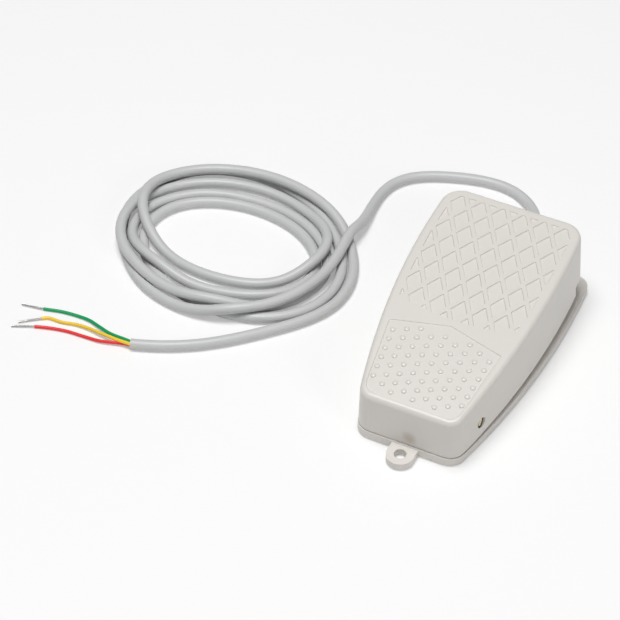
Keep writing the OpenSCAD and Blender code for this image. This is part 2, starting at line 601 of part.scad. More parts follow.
// Cores from the cut sheath round the spring's cup to the terminal tabs
core_start = [[1.3, sheath_end, exit_z - 0.9], [0, sheath_end, exit_z + 1.4],
  [-1.3, sheath_end, exit_z - 0.9]];
function tab_end(i) = [tabs[i][0] + tab_t + core_r + seat_gap / 2, tabs[i][1] + tab_w / 2 + 0.6, flange_z + 3.9];
function lead(i, round_spring, along, tab) = concat(
  [core_start[i] - [0, seat_gap, 0], core_start[i] - [0, 1.6, 0]],
  [for (p = round_spring) p + [0, spring_y, 0]], [for (p = along) p + [0, sw_y, 0]], [tab_end(tab)]);
module lead_red() color(red) placed() tube(lead(0,
  [[4, 12.6, 8.8], [8.5, 10.6, 8], [12.6, 6, 7.3], [14, -1, 7], [14, -20, 7]],
  [[13.4, 32, 7], [11.4, 18, 7.2], [7.5, 12, 7.6], [3, 10, 8.4]], 0), core_r);
module lead_yellow() color(yellow) placed() tube(lead(1,
  [[4.5, 11.6, 11.4], [9.4, 7.6, 10.6], [12, 0, 9.6], [12, -20, 9.2]],
  [[11.4, 34, 9.2], [10, 22, 9.4], [7, 16.6, 9.4], [3, 15.4, 9.4]], 1), core_r);
module lead_green() color(green) placed() tube(lead(2,
  [[0.6, 10.6, 7.4], [5.5, 9.2, 7], [9, 5.5, 7], [10.9, 0, 7], [10.8, -20, 7]],
  [[10, 36, 7], [8, 29, 7.6]], 2), core_r);

// ---- Free cord, laid on the surface the switch stands on -----------------------
// Points of its run from the strain relief to the coil, of the run from the coil
// to the cut end of the sheath, and of the three cores beyond it, all measured
// from the foot of the cover's front wall

lead_route = [[0, base_end + relief_len - 1.5, exit_z], [-0.4, base_end + relief_len + 2, exit_z - 0.3],
  [-2, 184, 8.4], [-5, 191, 5.6], [-9, 197, 4], [-15, 203, 3], [-23, 207, 3], [-34, 208.5, 3],
  [-49, 206, 3], [-64, 201, 3], [-78, 195, 3], [-87, 188, 3], [-91, 179, 3], [-92, 168, 3],
  [-91, 157, 3], [-90, 148, 3.5], [-89, 140, 5.5], [-88, 131, 8], [-87, 123, 9]];
tail_route = [[-82, 74, 3], [-90, 59, 3], [-101, 47, 3], [-112, 35.5, 3], [-124, 25, 3],
  [-137, 16.5, 3], [-152, 9, 3], [-163.5, 5, 3]];
green_route = [[-163.6, 5.8, 3.9], [-167.7, 6.2, 3.6], [-177.5, 7.4, 2.6], [-185.8, 10.1, 1.8],
  [-193.3, 12.4, 1.3], [-201.3, 12.8, 1], [-210.4, 11.9, 1], [-220.9, 9.4, 1]];
yellow_route = [[-163.6, 4, 3.9], [-171.8, 4.3, 3.4], [-181.3, 5.2, 2.8], [-190, 6.5, 1.8], [-197.8, 6.6, 1.2],
  [-206.5, 4.9, 1], [-214.4, 4.5, 1], [-218.9, 1.5, 1]];
red_route = [[-163.6, 5, 2.1], [-167.3, 4.4, 2], [-173.8, 2.7, 1.8], [-180.8, 1, 1.4], [-190.4, 0.6, 1],
  [-200.1, 0.1, 1], [-209, -1.6, 1], [-219.1, -4.8, 1]];
bare_routes = [[[-220.9, 9.4, 1], [-227, 8.4, 1], [-232.8, 7.6, 1]],
  [[-218.9, 1.5, 1], [-223.5, -2, 1], [-227.6, -5.2, 1]],
  [[-219.1, -4.8, 1], [-224.5, -7.2, 1], [-229.5, -9.4, 1]]];
coil_h = 13.4;                               // the cord crosses over itself

module cord_lead() color(cord_grey) placed() tube(lead_route, cord_r, 12);
module oval(half_x, half_y) scale([1, half_y / half_x]) circle(half_x, $fn = 72);
module cord_coil() color(cord_grey) placed() linear_extrude(coil_h) difference() {
  translate([-147, 96]) oval(72.5, 58.5);
  translate([-148, 100]) oval(46, 26);
}
module cord_tail() color(cord_grey) placed() tube(tail_route, cord_r, 12);
module wire_green() color(green) placed() tube(green_route, core_r);
module wire_yellow() color(yellow) placed() tube(yellow_route, core_r);
module wire_red() color(red) placed() tube(red_route, core_r);
module wire_ends() color(brass) placed() for (route = bare_routes) tube(route, bare_r);

// ---- Sub-parts ------------------------------------------------------------------

base();
rubber_feet();
pedal_cover();
hinge_pin();
pin_clips();
return_spring();
switch_case();
switch_lid();
switch_plunger();
switch_lever();
contact_blade();
terminal_common();
terminal_open();
terminal_closed();
switch_screws();
switch_nuts();
cable_clamp();
clamp_screws();
cord_grommet();
cord_inner_end();
lead_red();
lead_yellow();
lead_green();
cord_lead();
cord_coil();
cord_tail();
wire_green();
wire_yellow();
wire_red();
wire_ends();
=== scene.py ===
"""Pedal foot switch: moulded cover and base, coil of three-core cord, stage and camera."""

import math

import bmesh
import bpy
import numpy as np
from bpy.props import FloatProperty, FloatVectorProperty, IntProperty, PointerProperty
from mathutils import Matrix, Vector
from mathutils.geometry import delaunay_2d_cdt


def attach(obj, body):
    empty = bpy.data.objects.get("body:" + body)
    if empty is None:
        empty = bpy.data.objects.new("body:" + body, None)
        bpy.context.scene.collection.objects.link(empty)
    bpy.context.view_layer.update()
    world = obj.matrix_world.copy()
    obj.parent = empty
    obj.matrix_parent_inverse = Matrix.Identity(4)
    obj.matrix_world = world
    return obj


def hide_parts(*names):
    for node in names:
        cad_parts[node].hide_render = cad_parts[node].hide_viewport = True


bl_info = {
    "name": "Foot switch",
    "version": (1, 0, 0),
    "blender": (4, 5, 0),
    "location": "3D View > Sidebar > Foot switch",
    "description": "Builds a pedal foot switch with its cord, on a pale floor",
    "category": "Add Mesh",
}

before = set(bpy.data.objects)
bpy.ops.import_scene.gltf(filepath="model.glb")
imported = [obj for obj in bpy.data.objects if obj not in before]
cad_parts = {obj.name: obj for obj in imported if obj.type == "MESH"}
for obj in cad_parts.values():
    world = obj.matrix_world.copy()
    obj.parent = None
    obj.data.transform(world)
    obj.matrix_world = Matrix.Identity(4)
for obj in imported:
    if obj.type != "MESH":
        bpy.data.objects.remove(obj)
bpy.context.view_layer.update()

MM = 0.001
MID = 81.5 * MM          # from the foot of the cover's front wall to the origin


# ---- Sizes and colours ----


def length(name, default, description):
    return FloatProperty(name=name, default=default, description=description,
                         unit="LENGTH", precision=5)


def angle(name, degrees, description):
    return FloatProperty(name=name, default=math.radians(degrees),
                         description=description, subtype="ANGLE")


def colour(name, default, description):
    return FloatVectorProperty(name=name, default=default, description=description,
                               subtype="COLOR", size=3, min=0, max=1)


class PedalSizes(bpy.types.PropertyGroup):
    cover_len: length("Length", 0.150, "From the cover's front wall to its back wall")
    front_w: length("Front width", 0.056, "Width at the hinge end")
    rear_w: length("Rear width", 0.0815, "Width at the cord end")
    side_bow: length("Side bow", 0.0064, "How far a long side bows outward")
    front_corner: length("Front corner", 0.009, "Radius of the corners at the hinge end")
    rear_corner: length("Rear corner", 0.013, "Radius of the corners at the cord end")
    front_h: length("Front height", 0.0326, "Height of the front edge, pressed down")
    crown: length("Crown", 0.0028, "Rise of the top's middle over a flat top")
    edge_r: length("Rim radius", 0.0024, "Radius that rounds the rim of the top")
    wall: length("Wall", 0.0024, "Thickness of the side walls")
    top_wall: length("Top wall", 0.0026, "Thickness of the top")
    lower_z: length("Lower edge", 0.00698, "Height of the side walls' lower edge")
    rear_lift: length("Rear lift", 0.007, "How far the back wall stops short")
    side_run: length("Side run", 0.1324, "Length of the side walls' lower edge")
    slope: angle("Slope", 4.7, "Slope of the top along the pedal, pressed down")
    draft: angle("Draft", 2.5, "Draft of the outer walls")
    rest: angle("Rest angle", 3.0, "How far the pedal stands up at rest")
    pin_y: length("Pin place", 0.0225, "Distance of the hinge pin from the front wall")
    pin_z: length("Pin height", 0.016, "Height of the hinge pin")
    pin_r: length("Pin radius", 0.0022, "Radius of the hinge pin")


class GripSizes(bpy.types.PropertyGroup):
    net_a: length("Across", 0.012, "Spacing of the diamonds across the pedal")
    net_b: length("Along", 0.0197, "Spacing of the diamonds along the pedal")
    net_rib: length("Rib", 0.002, "Width of the ribs between the diamonds")
    net_depth: length("Depth", 0.0007, "Depth of the diamonds")
    net_start: length("Net start", 0.0614, "From the front edge to the net")
    net_end: length("Net end", 0.1434, "From the front edge to the net's back edge")
    net_border: length("Border", 0.0067, "From the cover's lower edge in to the net")
    panel_depth: length("Panel depth", 0.0005, "Depth of the toe panel")
    panel_front: length("Panel front", 0.0044, "From the front edge to the toe panel")
    panel_side: length("Chevron ends", 0.0499, "From the front edge to the chevron's ends")
    panel_apex: length("Chevron point", 0.0577, "From the front edge to the chevron's point")
    panel_half: length("Panel half width", 0.0316, "Half width of the panel's back end")
    panel_corner: length("Panel corner", 0.007, "Radius of the panel's front corners")
    bump_h: length("Bump height", 0.0007, "Height of a grip bump")
    bump_r: length("Bump radius", 0.00155, "Radius of a grip bump")
    bump_pitch: length("Bump pitch", 0.0060, "Spacing of the bumps along the pedal")
    bump_across: length("Bump spacing", 0.00587, "Spacing of the bumps across the front edge")
    bump_from: length("First bump", 0.0072, "From the chevron's point to the first bump")
    bump_edge: length("Bump edge", 0.0024, "Least distance from a bump to the panel's sides")


class CordSizes(bpy.types.PropertyGroup):
    radius: length("Sheath radius", 0.003, "Radius of the round sheath")
    core_r: length("Core radius", 0.00095, "Radius of an insulated core")
    strand_r: length("Strand radius", 0.0002, "Radius of one tinned strand")
    strands: IntProperty(name="Strands", default=6, min=3, max=18,
                         description="Strands laid round the middle one")
    exit_z: length("Exit height", 0.010, "Height of the cord where it leaves the base")


class Finishes(bpy.types.PropertyGroup):
    shell: colour("Shell", (0.72, 0.69, 0.65), "Moulded cover and base")
    sheath: colour("Sheath", (0.58, 0.585, 0.585), "Cord sheath and strain relief")
    green: colour("Green core", (0.0, 0.36, 0.12), "Insulation of the green core")
    yellow: colour("Yellow core", (0.98, 0.66, 0.05), "Insulation of the yellow core")
    red: colour("Red core", (0.86, 0.035, 0.04), "Insulation of the red core")
    floor: colour("Floor", (0.96, 0.96, 0.96), "Floor under the switch")


def sizes(kind):
    return getattr(bpy.context.scene, "foot_" + kind)


# ---- Shader maths ----


class Value:
    """A shader socket that Python arithmetic can use."""

    def __init__(self, shader, socket):
        self.shader, self.socket = shader, socket

    def maths(self, operation, first, second):
        return self.shader.add("ShaderNodeMath", {"operation": operation}, {0: first, 1: second})

    def __add__(self, other):
        return self.maths("ADD", self, other)

    def __radd__(self, other):
        return self.maths("ADD", other, self)

    def __mul__(self, other):
        return self.maths("MULTIPLY", self, other)

    def __rmul__(self, other):
        return self.maths("MULTIPLY", other, self)


class Shader:
    """A material and the one way in which its nodes are added."""

    def __init__(self, name):
        self.material = bpy.data.materials.new(name)
        self.material.use_nodes = True
        self.tree = self.material.node_tree
        self.base = self.tree.nodes["Principled BSDF"]
        self.output = self.tree.nodes["Material Output"]

    def add(self, kind, settings=None, inputs=None, output=0):
        node = self.tree.nodes.new(kind)
        for key, value in (settings or {}).items():
            setattr(node, key, value)
        for key, value in (inputs or {}).items():
            self.join(value, node.inputs[key])
        return Value(self, node.outputs[output])

    def join(self, value, socket):
        if isinstance(value, Value):
            self.tree.links.new(value.socket, socket)
        else:
            socket.default_value = value

    def set(self, **inputs):
        for key, value in inputs.items():
            self.join(value, self.base.inputs[key.replace("_", " ")])

    def position(self):
        return self.add("ShaderNodeTexCoord", output="Object")

    def noise(self, scale, detail=3.0, rough=0.5, vector=None):
        return self.add("ShaderNodeTexNoise", {"noise_dimensions": "3D"},
                        {"Vector": vector or self.position(), "Scale": scale,
                         "Detail": detail, "Roughness": rough})

    def mix(self, factor, first, second):
        return self.add("ShaderNodeMix", {"data_type": "RGBA"},
                        {0: factor, 6: first, 7: second}, output=2)

    def bump(self, height, distance):
        return self.add("ShaderNodeBump", None,
                        {"Strength": 1.0, "Distance": distance, "Height": height})


def rgba(tint, gain=1.0):
    return (*(min(1.0, c * gain) for c in tint), 1.0)


def plastic(name, tint, roughness=0.34, grain=2200.0, depth=0.00002, cloud=0.02, brown_spot=None):
    """Moulded plastic: a faint cloud of tone, a fine grain and perhaps a brownish round spot."""
    s = Shader(name)
    tone = s.noise(45.0, 4.0, 0.6)
    colour = s.mix(tone, rgba(tint, 1 - cloud), rgba(tint, 1 + cloud))
    # a round spot of the given tint, strongest at its middle and gone at its radius
    if brown_spot:
        middle, radius, spot_tint = brown_spot
        far = s.add("ShaderNodeVectorMath", {"operation": "DISTANCE"},
                    {0: s.position(), 1: middle}, output="Value")
        near = s.add("ShaderNodeMapRange", {"interpolation_type": "SMOOTHSTEP"},
                     {"Value": far + 0.002 * s.noise(300.0), "From Min": 0.3 * radius,
                      "From Max": radius, "To Min": 0.45, "To Max": 0.0})
        colour = s.mix(near, colour, rgba(spot_tint))
    s.set(Base_Color=colour)
    fine = s.noise(grain, 2.0, 0.5)
    s.set(Roughness=roughness - 0.04 + 0.08 * s.noise(160.0, 3.0), Normal=s.bump(fine, depth))
    return s.material


def sheath(name, tint):
    """Extruded cord sheath: satin, with a faint unevenness."""
    s = Shader(name)
    tone = s.noise(70.0, 3.0, 0.6)
    s.set(Base_Color=s.mix(tone, rgba(tint, 0.96), rgba(tint, 1.04)))
    uneven = s.noise(420.0, 2.0, 0.5)
    s.set(Roughness=0.36 + 0.10 * s.noise(300.0, 2.0), Normal=s.bump(uneven, 0.00004))
    return s.material


def metal(name, tint, roughness):
    """Drawn or turned metal with fine lines along one way."""
    s = Shader(name)
    lines = s.add("ShaderNodeMapping", None, {"Vector": s.position(), "Scale": (1.0, 1.0, 12.0)})
    streak = s.noise(900.0, 3.0, 0.6, lines)
    s.set(Base_Color=s.mix(streak, rgba(tint, 0.9), rgba(tint, 1.06)), Metallic=1.0)
    s.set(Roughness=roughness - 0.06 + 0.14 * streak, Normal=s.bump(streak, 0.000006))
    return s.material


# ---- Mesh helpers ----


def linked(name, data):
    obj = bpy.data.objects.new(name, data)
    bpy.context.collection.objects.link(obj)
    return obj


def finished(name, mesh, material, smooth=math.radians(32)):
    """An object at the origin, shaded smooth where its faces meet softly."""
    mesh.materials.clear()
    mesh.materials.append(material)
    if smooth:
        mesh.shade_smooth()
        mesh.set_sharp_from_angle(angle=smooth)
    return linked(name, mesh)


def plain(obj):
    """The object's evaluated mesh, with its modifiers left behind."""
    graph = bpy.context.evaluated_depsgraph_get()
    mesh = bpy.data.meshes.new_from_object(obj.evaluated_get(graph), depsgraph=graph)
    mesh.name = obj.name
    return mesh


def settle(obj):
    """Turns the object's modifiers into its plain mesh."""
    mesh = plain(obj)
    obj.modifiers.clear()
    obj.data = mesh
    return obj


def place(piece, body, slot, *nodes):
    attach(piece, body)
    if nodes:
        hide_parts(*nodes)
    return piece


def cad_copy(node):
    """A merged copy of a CAD node's mesh, in a bmesh."""
    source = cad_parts[node]
    bm = bmesh.new()
    bm.from_mesh(source.data)
    bmesh.ops.remove_doubles(bm, verts=bm.verts, dist=2e-6)
    bmesh.ops.dissolve_limit(bm, angle_limit=math.radians(0.6), verts=bm.verts, edges=bm.edges)
    return bm


def soften(bm, edges, width, segments=2):
    bmesh.ops.bevel(bm, geom=list(edges), offset=width, segments=segments,
                    profile=0.5, affect="EDGES", clamp_overlap=True)


def to_mesh(bm, name):
    mesh = bpy.data.meshes.new(name)
    bm.to_mesh(mesh)
    bm.free()
    return mesh


def solid(kind, size, at=(0, 0, 0), turn=None, segments=48):
    """A box of that size, or a cylinder of (radius, height) along Z, about its middle."""
    bm = bmesh.new()
    if kind == "box":
        bmesh.ops.create_cube(bm, size=1.0)
        bmesh.ops.scale(bm, vec=size, verts=bm.verts)
    else:
        bmesh.ops.create_cone(bm, cap_ends=True, segments=segments, radius1=size[0],
                              radius2=size[0], depth=size[1])
    if turn is not None:
        bmesh.ops.transform(bm, matrix=turn, verts=bm.verts)
    bmesh.ops.translate(bm, vec=at, verts=bm.verts)
    return to_mesh(bm, kind)


def carve(obj, mesh, operation="DIFFERENCE"):
    """Cuts a closed mesh out of the object, or joins it on."""
    tool = linked("tool", mesh)
    modifier = obj.modifiers.new("carve", "BOOLEAN")
    modifier.operation, modifier.object, modifier.solver = operation, tool, "MANIFOLD"
    settle(obj)
    bpy.data.objects.remove(tool)


def even_shading(obj):
    """Lets a large face rule the shading at its corners, so that flat faces stay flat."""
    modifier = obj.modifiers.new("shading", "WEIGHTED_NORMAL")
    modifier.mode, modifier.weight, modifier.keep_sharp = "FACE_AREA", 50, True
    return settle(obj)


ACROSS = Matrix.Rotation(math.pi / 2, 4, "Y")


# ---- Pedal cover ----


class Outline:
    """The cover's plan: a tapering box with bowed sides and round corners."""

    def __init__(self, p, corner_steps=10, side_steps=44):
        self.p, self.corner_steps, self.side_steps = p, corner_steps, side_steps

    def half_w(self, y):
        p, t = self.p, y / self.p.cover_len
        return p.front_w / 2 + (p.rear_w - p.front_w) / 2 * t + p.side_bow * 4 * t * (1 - t)

    def side_angle(self, y):
        p, t = self.p, y / self.p.cover_len
        return math.atan(((p.rear_w - p.front_w) / 2 + p.side_bow * 4 * (1 - 2 * t)) / p.cover_len)

    def points(self, y0, y1, out, rf, rr, back_steps=10):
        """Points and outward directions from the middle of the front round to the back."""
        af, ar = self.side_angle(y0 + rf), self.side_angle(y1 - rr)
        yf, yr = y0 + rf - rf * math.sin(af), y1 - rr - rr * math.sin(ar)
        xf = self.half_w(yf) + out - rf * math.cos(af)
        xr = self.half_w(yr) + out - rr * math.cos(ar)
        made, n, m = [], self.corner_steps, self.side_steps

        def corner(x, y, r, start, turn, steps):
            for k in steps:
                a = start + turn * k / n
                made.append((x + r * math.cos(a), y + r * math.sin(a), math.cos(a), math.sin(a)))

        for k in range(1, back_steps):
            made.append((xf * k / back_steps, y0, 0, -1))
        corner(xf, y0 + rf, rf, -math.pi / 2, math.pi / 2 - af, range(n))
        for k in range(m + 1):
            y = yf + (yr - yf) * k / m
            a = self.side_angle(y)
            made.append((self.half_w(y) + out, y, math.cos(a), -math.sin(a)))
        corner(xr, y1 - rr, rr, -ar, math.pi / 2 + ar, range(1, n + 1))
        for k in range(back_steps - 1, 0, -1):
            made.append((xr * k / back_steps, y1, 0, 1))
        left = [(-x, y, -nx, ny) for x, y, nx, ny in reversed(made)]
        return [(0, y0, 0, -1)] + made + [(0, y1, 0, 1)] + left


def top_z(p, y):
    t = y / p.cover_len
    return p.front_h + math.tan(p.slope) * y + p.crown * 4 * t * (1 - t)


def rest_place(p):
    """From the pressed pedal, measured from the front wall, to its rest in the frame."""
    pin = Vector((0, p.pin_y, p.pin_z))
    return (Matrix.Translation((0, -MID, 0)) @ Matrix.Translation(pin)
            @ Matrix.Rotation(p.rest, 4, "X") @ Matrix.Translation(-pin))


def half_plane(polygon, a, b):
    """The part of a polygon on the left of the line from a to b."""
    (ax, ay), (bx, by) = a, b
    side = [(bx - ax) * (y - ay) - (by - ay) * (x - ax) for x, y in polygon]
    kept = []
    for i, (x, y) in enumerate(polygon):
        j = (i + 1) % len(polygon)
        if side[i] >= 0:
            kept.append((x, y))
        if side[i] * side[j] < 0:
            t = side[i] / (side[i] - side[j])
            kept.append((x + t * (polygon[j][0] - x), y + t * (polygon[j][1] - y)))
    return kept


def clip(polygon, field):
    """The part of a convex polygon inside a convex field, both anticlockwise."""
    for a, b in zip(field, [*field[1:], field[0]]):
        polygon = half_plane(polygon, a, b)
        if len(polygon) < 3:
            return []
    return polygon


def area(polygon):
    return sum(a[0] * b[1] - b[0] * a[1] for a, b in zip(polygon, polygon[1:] + polygon[:1])) / 2


def tidy_loop(polygon, least=0.0003):
    """The polygon without points that lie closer than least."""
    kept = []
    for q in polygon:
        if not kept or math.dist(q, kept[-1]) > least:
            kept.append(q)
    while len(kept) > 1 and math.dist(kept[0], kept[-1]) <= least:
        kept.pop()
    return kept


def inset(polygon, distance):
    """A convex polygon with every side moved inward."""
    moved = polygon
    for k in range(len(polygon)):
        a, b = Vector(polygon[k]), Vector(polygon[(k + 1) % len(polygon)])
        along = (b - a).normalized()
        inward = Vector((-along.y, along.x))
        moved = half_plane(moved, a + inward * distance, b + inward * distance)
        if len(moved) < 3:
            return []
    return moved


def rounded(core, step=math.radians(18)):
    """The corners of a convex polygon, each with the directions round it."""
    made = []
    n = len(core)
    for k in range(n):
        before = Vector(core[k]) - Vector(core[k - 1])
        after = Vector(core[(k + 1) % n]) - Vector(core[k])
        a0 = math.atan2(-before.x, before.y)
        a1 = math.atan2(-after.x, after.y)
        while a1 < a0 - 1e-9:
            a1 += 2 * math.pi
        if a1 - a0 > math.pi:
            a1 -= 2 * math.pi
        steps = max(1, math.ceil((a1 - a0) / step))
        for i in range(steps + 1):
            a = a0 + (a1 - a0) * i / steps
            made.append((core[k][0], core[k][1], math.cos(a), math.sin(a)))
    return made


def contours(core, radius, profile):
    """Loops of a sunk shape: its corner radius shrinks as the wall goes down."""
    spokes = rounded(core)
    return [([(x + nx * (radius - i), y + ny * (radius - i)) for x, y, nx, ny in spokes], d)
            for i, d in profile]


CELL_CORNER = 0.00055    # radius of a pocket's corners
CELL_MARGIN = 0.0003     # kept free of other points round a pocket
LEAST_CELL = 0.2e-6      # area under which a cut diamond is left out
NET_SHIFT = 0.0005       # from the chevron's point to the net's first row
NET_BEND = 0.135         # radius of the net's bowed front edge
NET_FAR = (0.08, 0.2)    # half width and length of a box well past the cover
PANEL_TAPER = 0.125      # how much the toe panel's sides come in along the top
PANEL_MARGIN = 0.0005    # kept free of other points outside the toe panel
PANEL_INSIDE = 0.0016    # and inside it
BUMP_FAN = 0.0207        # how much the columns of bumps spread along the top
CROWN_TILT = 0.02        # how much the crown turns the bumps
BALL_CUT = -0.2          # height in a ball of radius 1 at which a bump is cut off
# The wall of a sunk shape: how far in, and how deep as a share of its depth
POCKET = ((0, 0), (0.00006, 0.04), (0.00014, 0.2), (0.00024, 0.52), (0.00034, 0.84),
          (0.00043, 0.97), (0.00052, 1.0))


def net_cells(p, g, outline):
    """Cores of the diamonds, cut off at the net's border."""
    field = [(x, y) for x, y, _, _ in outline.points(
        g.net_start - 0.004, g.net_end, -g.net_border, rf=0.002, rr=0.004, back_steps=4)]
    centre, (wide, far) = g.net_start + NET_BEND, NET_FAR
    arc = [(NET_BEND * math.cos(a), centre + NET_BEND * math.sin(a))
           for a in (math.radians(d) for d in np.linspace(-115, -65, 60))]
    field = clip(field, [*arc, (wide, far), (-wide, far)])
    rows = int((g.net_end - g.panel_apex) / g.net_b * 2) + 2
    cols = math.ceil(p.rear_w / g.net_a / 2)
    cells = []
    for row in range(rows):
        for col in range(-cols, cols + 1):
            x = (col + (0.5 if row % 2 == 0 else 0)) * g.net_a
            y = g.panel_apex + NET_SHIFT + row * g.net_b / 2
            diamond = [(x + g.net_a / 2, y), (x, y + g.net_b / 2),
                       (x - g.net_a / 2, y), (x, y - g.net_b / 2)]
            core = clip(inset(diamond, g.net_rib / 2), field)
            core = inset(tidy_loop(core), CELL_CORNER) if len(core) > 2 else []
            core = tidy_loop(core, 0.00015)
            if len(core) > 2 and area(core) > LEAST_CELL:
                cells.append(core)
    return cells


def panel_edge(g, s):
    """Half width of the toe panel at a distance along the top."""
    return g.panel_half - PANEL_TAPER * (g.panel_side - s)


def panel_outline(g):
    """The toe panel: round front corners, tapering sides and a chevron behind."""
    r, y = g.panel_corner, g.panel_front + g.panel_corner
    x = panel_edge(g, y) - r
    right = [(x + r * math.cos(a), y + r * math.sin(a)) for a in np.radians(range(-90, -6, 7))]
    right.append((g.panel_half, g.panel_side))
    return [*right, (0, g.panel_apex), *[(-x, y) for x, y in reversed(right)]]


def bump_places(g):
    """Where the grip bumps stand, as x and distance along the top."""
    chevron = (g.panel_apex - g.panel_side) / g.panel_half
    found = []
    for col in range(-4, 5):
        for row in range(9):
            s = g.panel_apex - g.bump_from - (row + (0 if col % 2 == 0 else 0.5)) * g.bump_pitch
            x = col * (g.bump_across + BUMP_FAN * s)
            inside = (s > g.panel_front + g.bump_edge and abs(x) < panel_edge(g, s) - g.bump_edge
                      and s < g.panel_apex - chevron * abs(x) - g.bump_edge)
            if inside:
                found.append((x, s))
    return found


def point_in(polygon, x, y):
    inside = False
    for (ax, ay), (bx, by) in zip(polygon, polygon[1:] + polygon[:1]):
        if (ay > y) != (by > y) and x < (bx - ax) * (y - ay) / (by - ay) + ax:
            inside = not inside
    return inside


def top_sheet(p, g, outline, border):
    """Triangles of the cover's top, with the net and the panel sunk into it."""
    flat = math.cos(p.slope)
    middle, narrower, shorter, pitch = 0.0755, 0.975, 0.985, 0.004
    points, depths, edges = [], [], []

    def loop(polygon, depth):
        start, count = len(points), len(polygon)
        points.extend(Vector(q) for q in polygon)
        depths.extend([depth] * count)
        edges.extend((start + i, start + (i + 1) % count) for i in range(count))

    def grown(core, margin):
        return [(x, y * flat) for x, y in contours(core, CELL_CORNER, ((-margin, 0),))[0][0]]

    loop(border, 0)
    holes = []
    for core in net_cells(p, g, outline):
        for polygon, d in contours(core, CELL_CORNER, POCKET):
            loop([(x, y * flat) for x, y in polygon], d * g.net_depth)
        holes.append(grown(core, CELL_MARGIN))
    panel = panel_outline(g)
    core = inset(panel, CELL_CORNER)
    for polygon, d in contours(core, CELL_CORNER, POCKET):
        loop([(x, y * flat) for x, y in polygon], d * g.panel_depth)
    outer = grown(core, PANEL_MARGIN)
    inner = [(x, y * flat) for x, y in inset(panel, PANEL_INSIDE)]
    rim = [(x * narrower, middle + (y - middle) * shorter) for x, y in border]
    for j in range(int(p.cover_len / pitch) + 1):
        for i in range(-12, 13):
            x, y = (i + (j % 2) / 2) * pitch, j * pitch
            if not point_in(rim, x, y):
                continue
            if point_in(outer, x, y):
                if point_in(inner, x, y):
                    points.append(Vector((x, y)))
                    depths.append(g.panel_depth)
                continue
            if any(point_in(h, x, y) for h in holes):
                continue
            points.append(Vector((x, y)))
            depths.append(0)
    made, _, faces, origin, _, _ = delaunay_2d_cdt(points, edges, [], 1, 1e-7, True)
    verts = []
    for q, source in zip(made, origin):
        depth = depths[source[0]] if source else 0
        verts.append((q.x, q.y, top_z(p, q.y) - depth))
    return verts, [tuple(f) for f in faces]


def cover_shell(p, g):
    """The cover as one closed mesh, pressed down, measured from its front wall."""
    outline = Outline(p)
    plan = outline.points(0, p.cover_len, 0, p.front_corner, p.rear_corner)

    def skin(offset, below):
        ring = []
        for x, y, nx, ny in plan:
            far = offset + math.tan(p.draft) * (top_z(p, y) - below - p.lower_z)
            y2 = y - far * ny
            ring.append((x - far * nx, y2, top_z(p, y2) - below))
        return ring

    def foot(offset, z):
        return [(x - offset * nx, y - offset * ny, z) for x, y, nx, ny in plan]

    lip, fillet, low = 0.0004, 0.002, p.lower_z
    bend, turn = 0.3 * fillet, 0.3 * lip
    rings = [skin(p.wall + fillet, p.top_wall), skin(p.wall + bend, p.top_wall + bend),
             skin(p.wall, p.top_wall + fillet), foot(p.wall, low + lip), foot(p.wall - lip, low),
             foot(lip, low), foot(turn, low + turn), foot(0, low + lip)]
    lower = foot(0, low + lip)
    upper = skin(0, p.edge_r)
    for k in (0.25, 0.5, 0.75):
        rings.append([tuple(a + (b - a) * k for a, b in zip(u, v)) for u, v in zip(lower, upper)])
    for k in range(13):
        a = math.pi / 2 * k / 12
        rings.append(skin(p.edge_r * (1 - math.cos(a)), p.edge_r * (1 - math.sin(a))))
    n = len(plan)
    verts = [q for ring in rings for q in ring]
    faces = []
    for k in range(len(rings) - 1):
        for i in range(n):
            j = (i + 1) % n
            faces.append((k * n + i, k * n + j, (k + 1) * n + j, (k + 1) * n + i))
    half = n // 2
    faces.append((0, n - 1, 1))
    faces += [(i, n - i, n - i - 1, i + 1) for i in range(1, half - 1)]
    faces.append((half - 1, half + 1, half))
    border = [(x, y) for x, y, _ in rings[-1]]
    sheet, triangles = top_sheet(p, g, outline, border)
    start = len(verts)
    verts += sheet
    faces += [tuple(start + i for i in f) for f in triangles]
    bm = bmesh.new()
    made = [bm.verts.new(v) for v in verts]
    for f in faces:
        bm.faces.new([made[i] for i in f])
    bmesh.ops.remove_doubles(bm, verts=bm.verts, dist=3e-6)
    bmesh.ops.recalc_face_normals(bm, faces=bm.faces)
    return to_mesh(bm, "cover")


# Pieces under the cover: radii, widths and places from its front wall, in metres
BOSS_R, BOSS_IN, BOSS_OUT = 0.0055, 0.0272, 0.0022
SPRING_Y, SEAT_Z, SEAT_R, STUD_R = 0.112, 0.033, 0.0075, 0.0048
RIB_SIDES, RIB_Y, RIB_T, RIB_H = (-0.027, -0.014, 0.014, 0.027), 0.040, 0.0016, 0.005
RIDGE_Y, RIDGE_Z, RIDGE_R, RIDGE_W = 0.062, 0.0374, 0.0015, 0.006
HOOK_X, HOOK_W, HOOK_T, HOOK_REACH, LIP_T = 0.024, 0.008, 0.002, 0.0054, 0.0025
HOOK_BACK, HOOK_STOP_Z = 0.0094, 0.0122


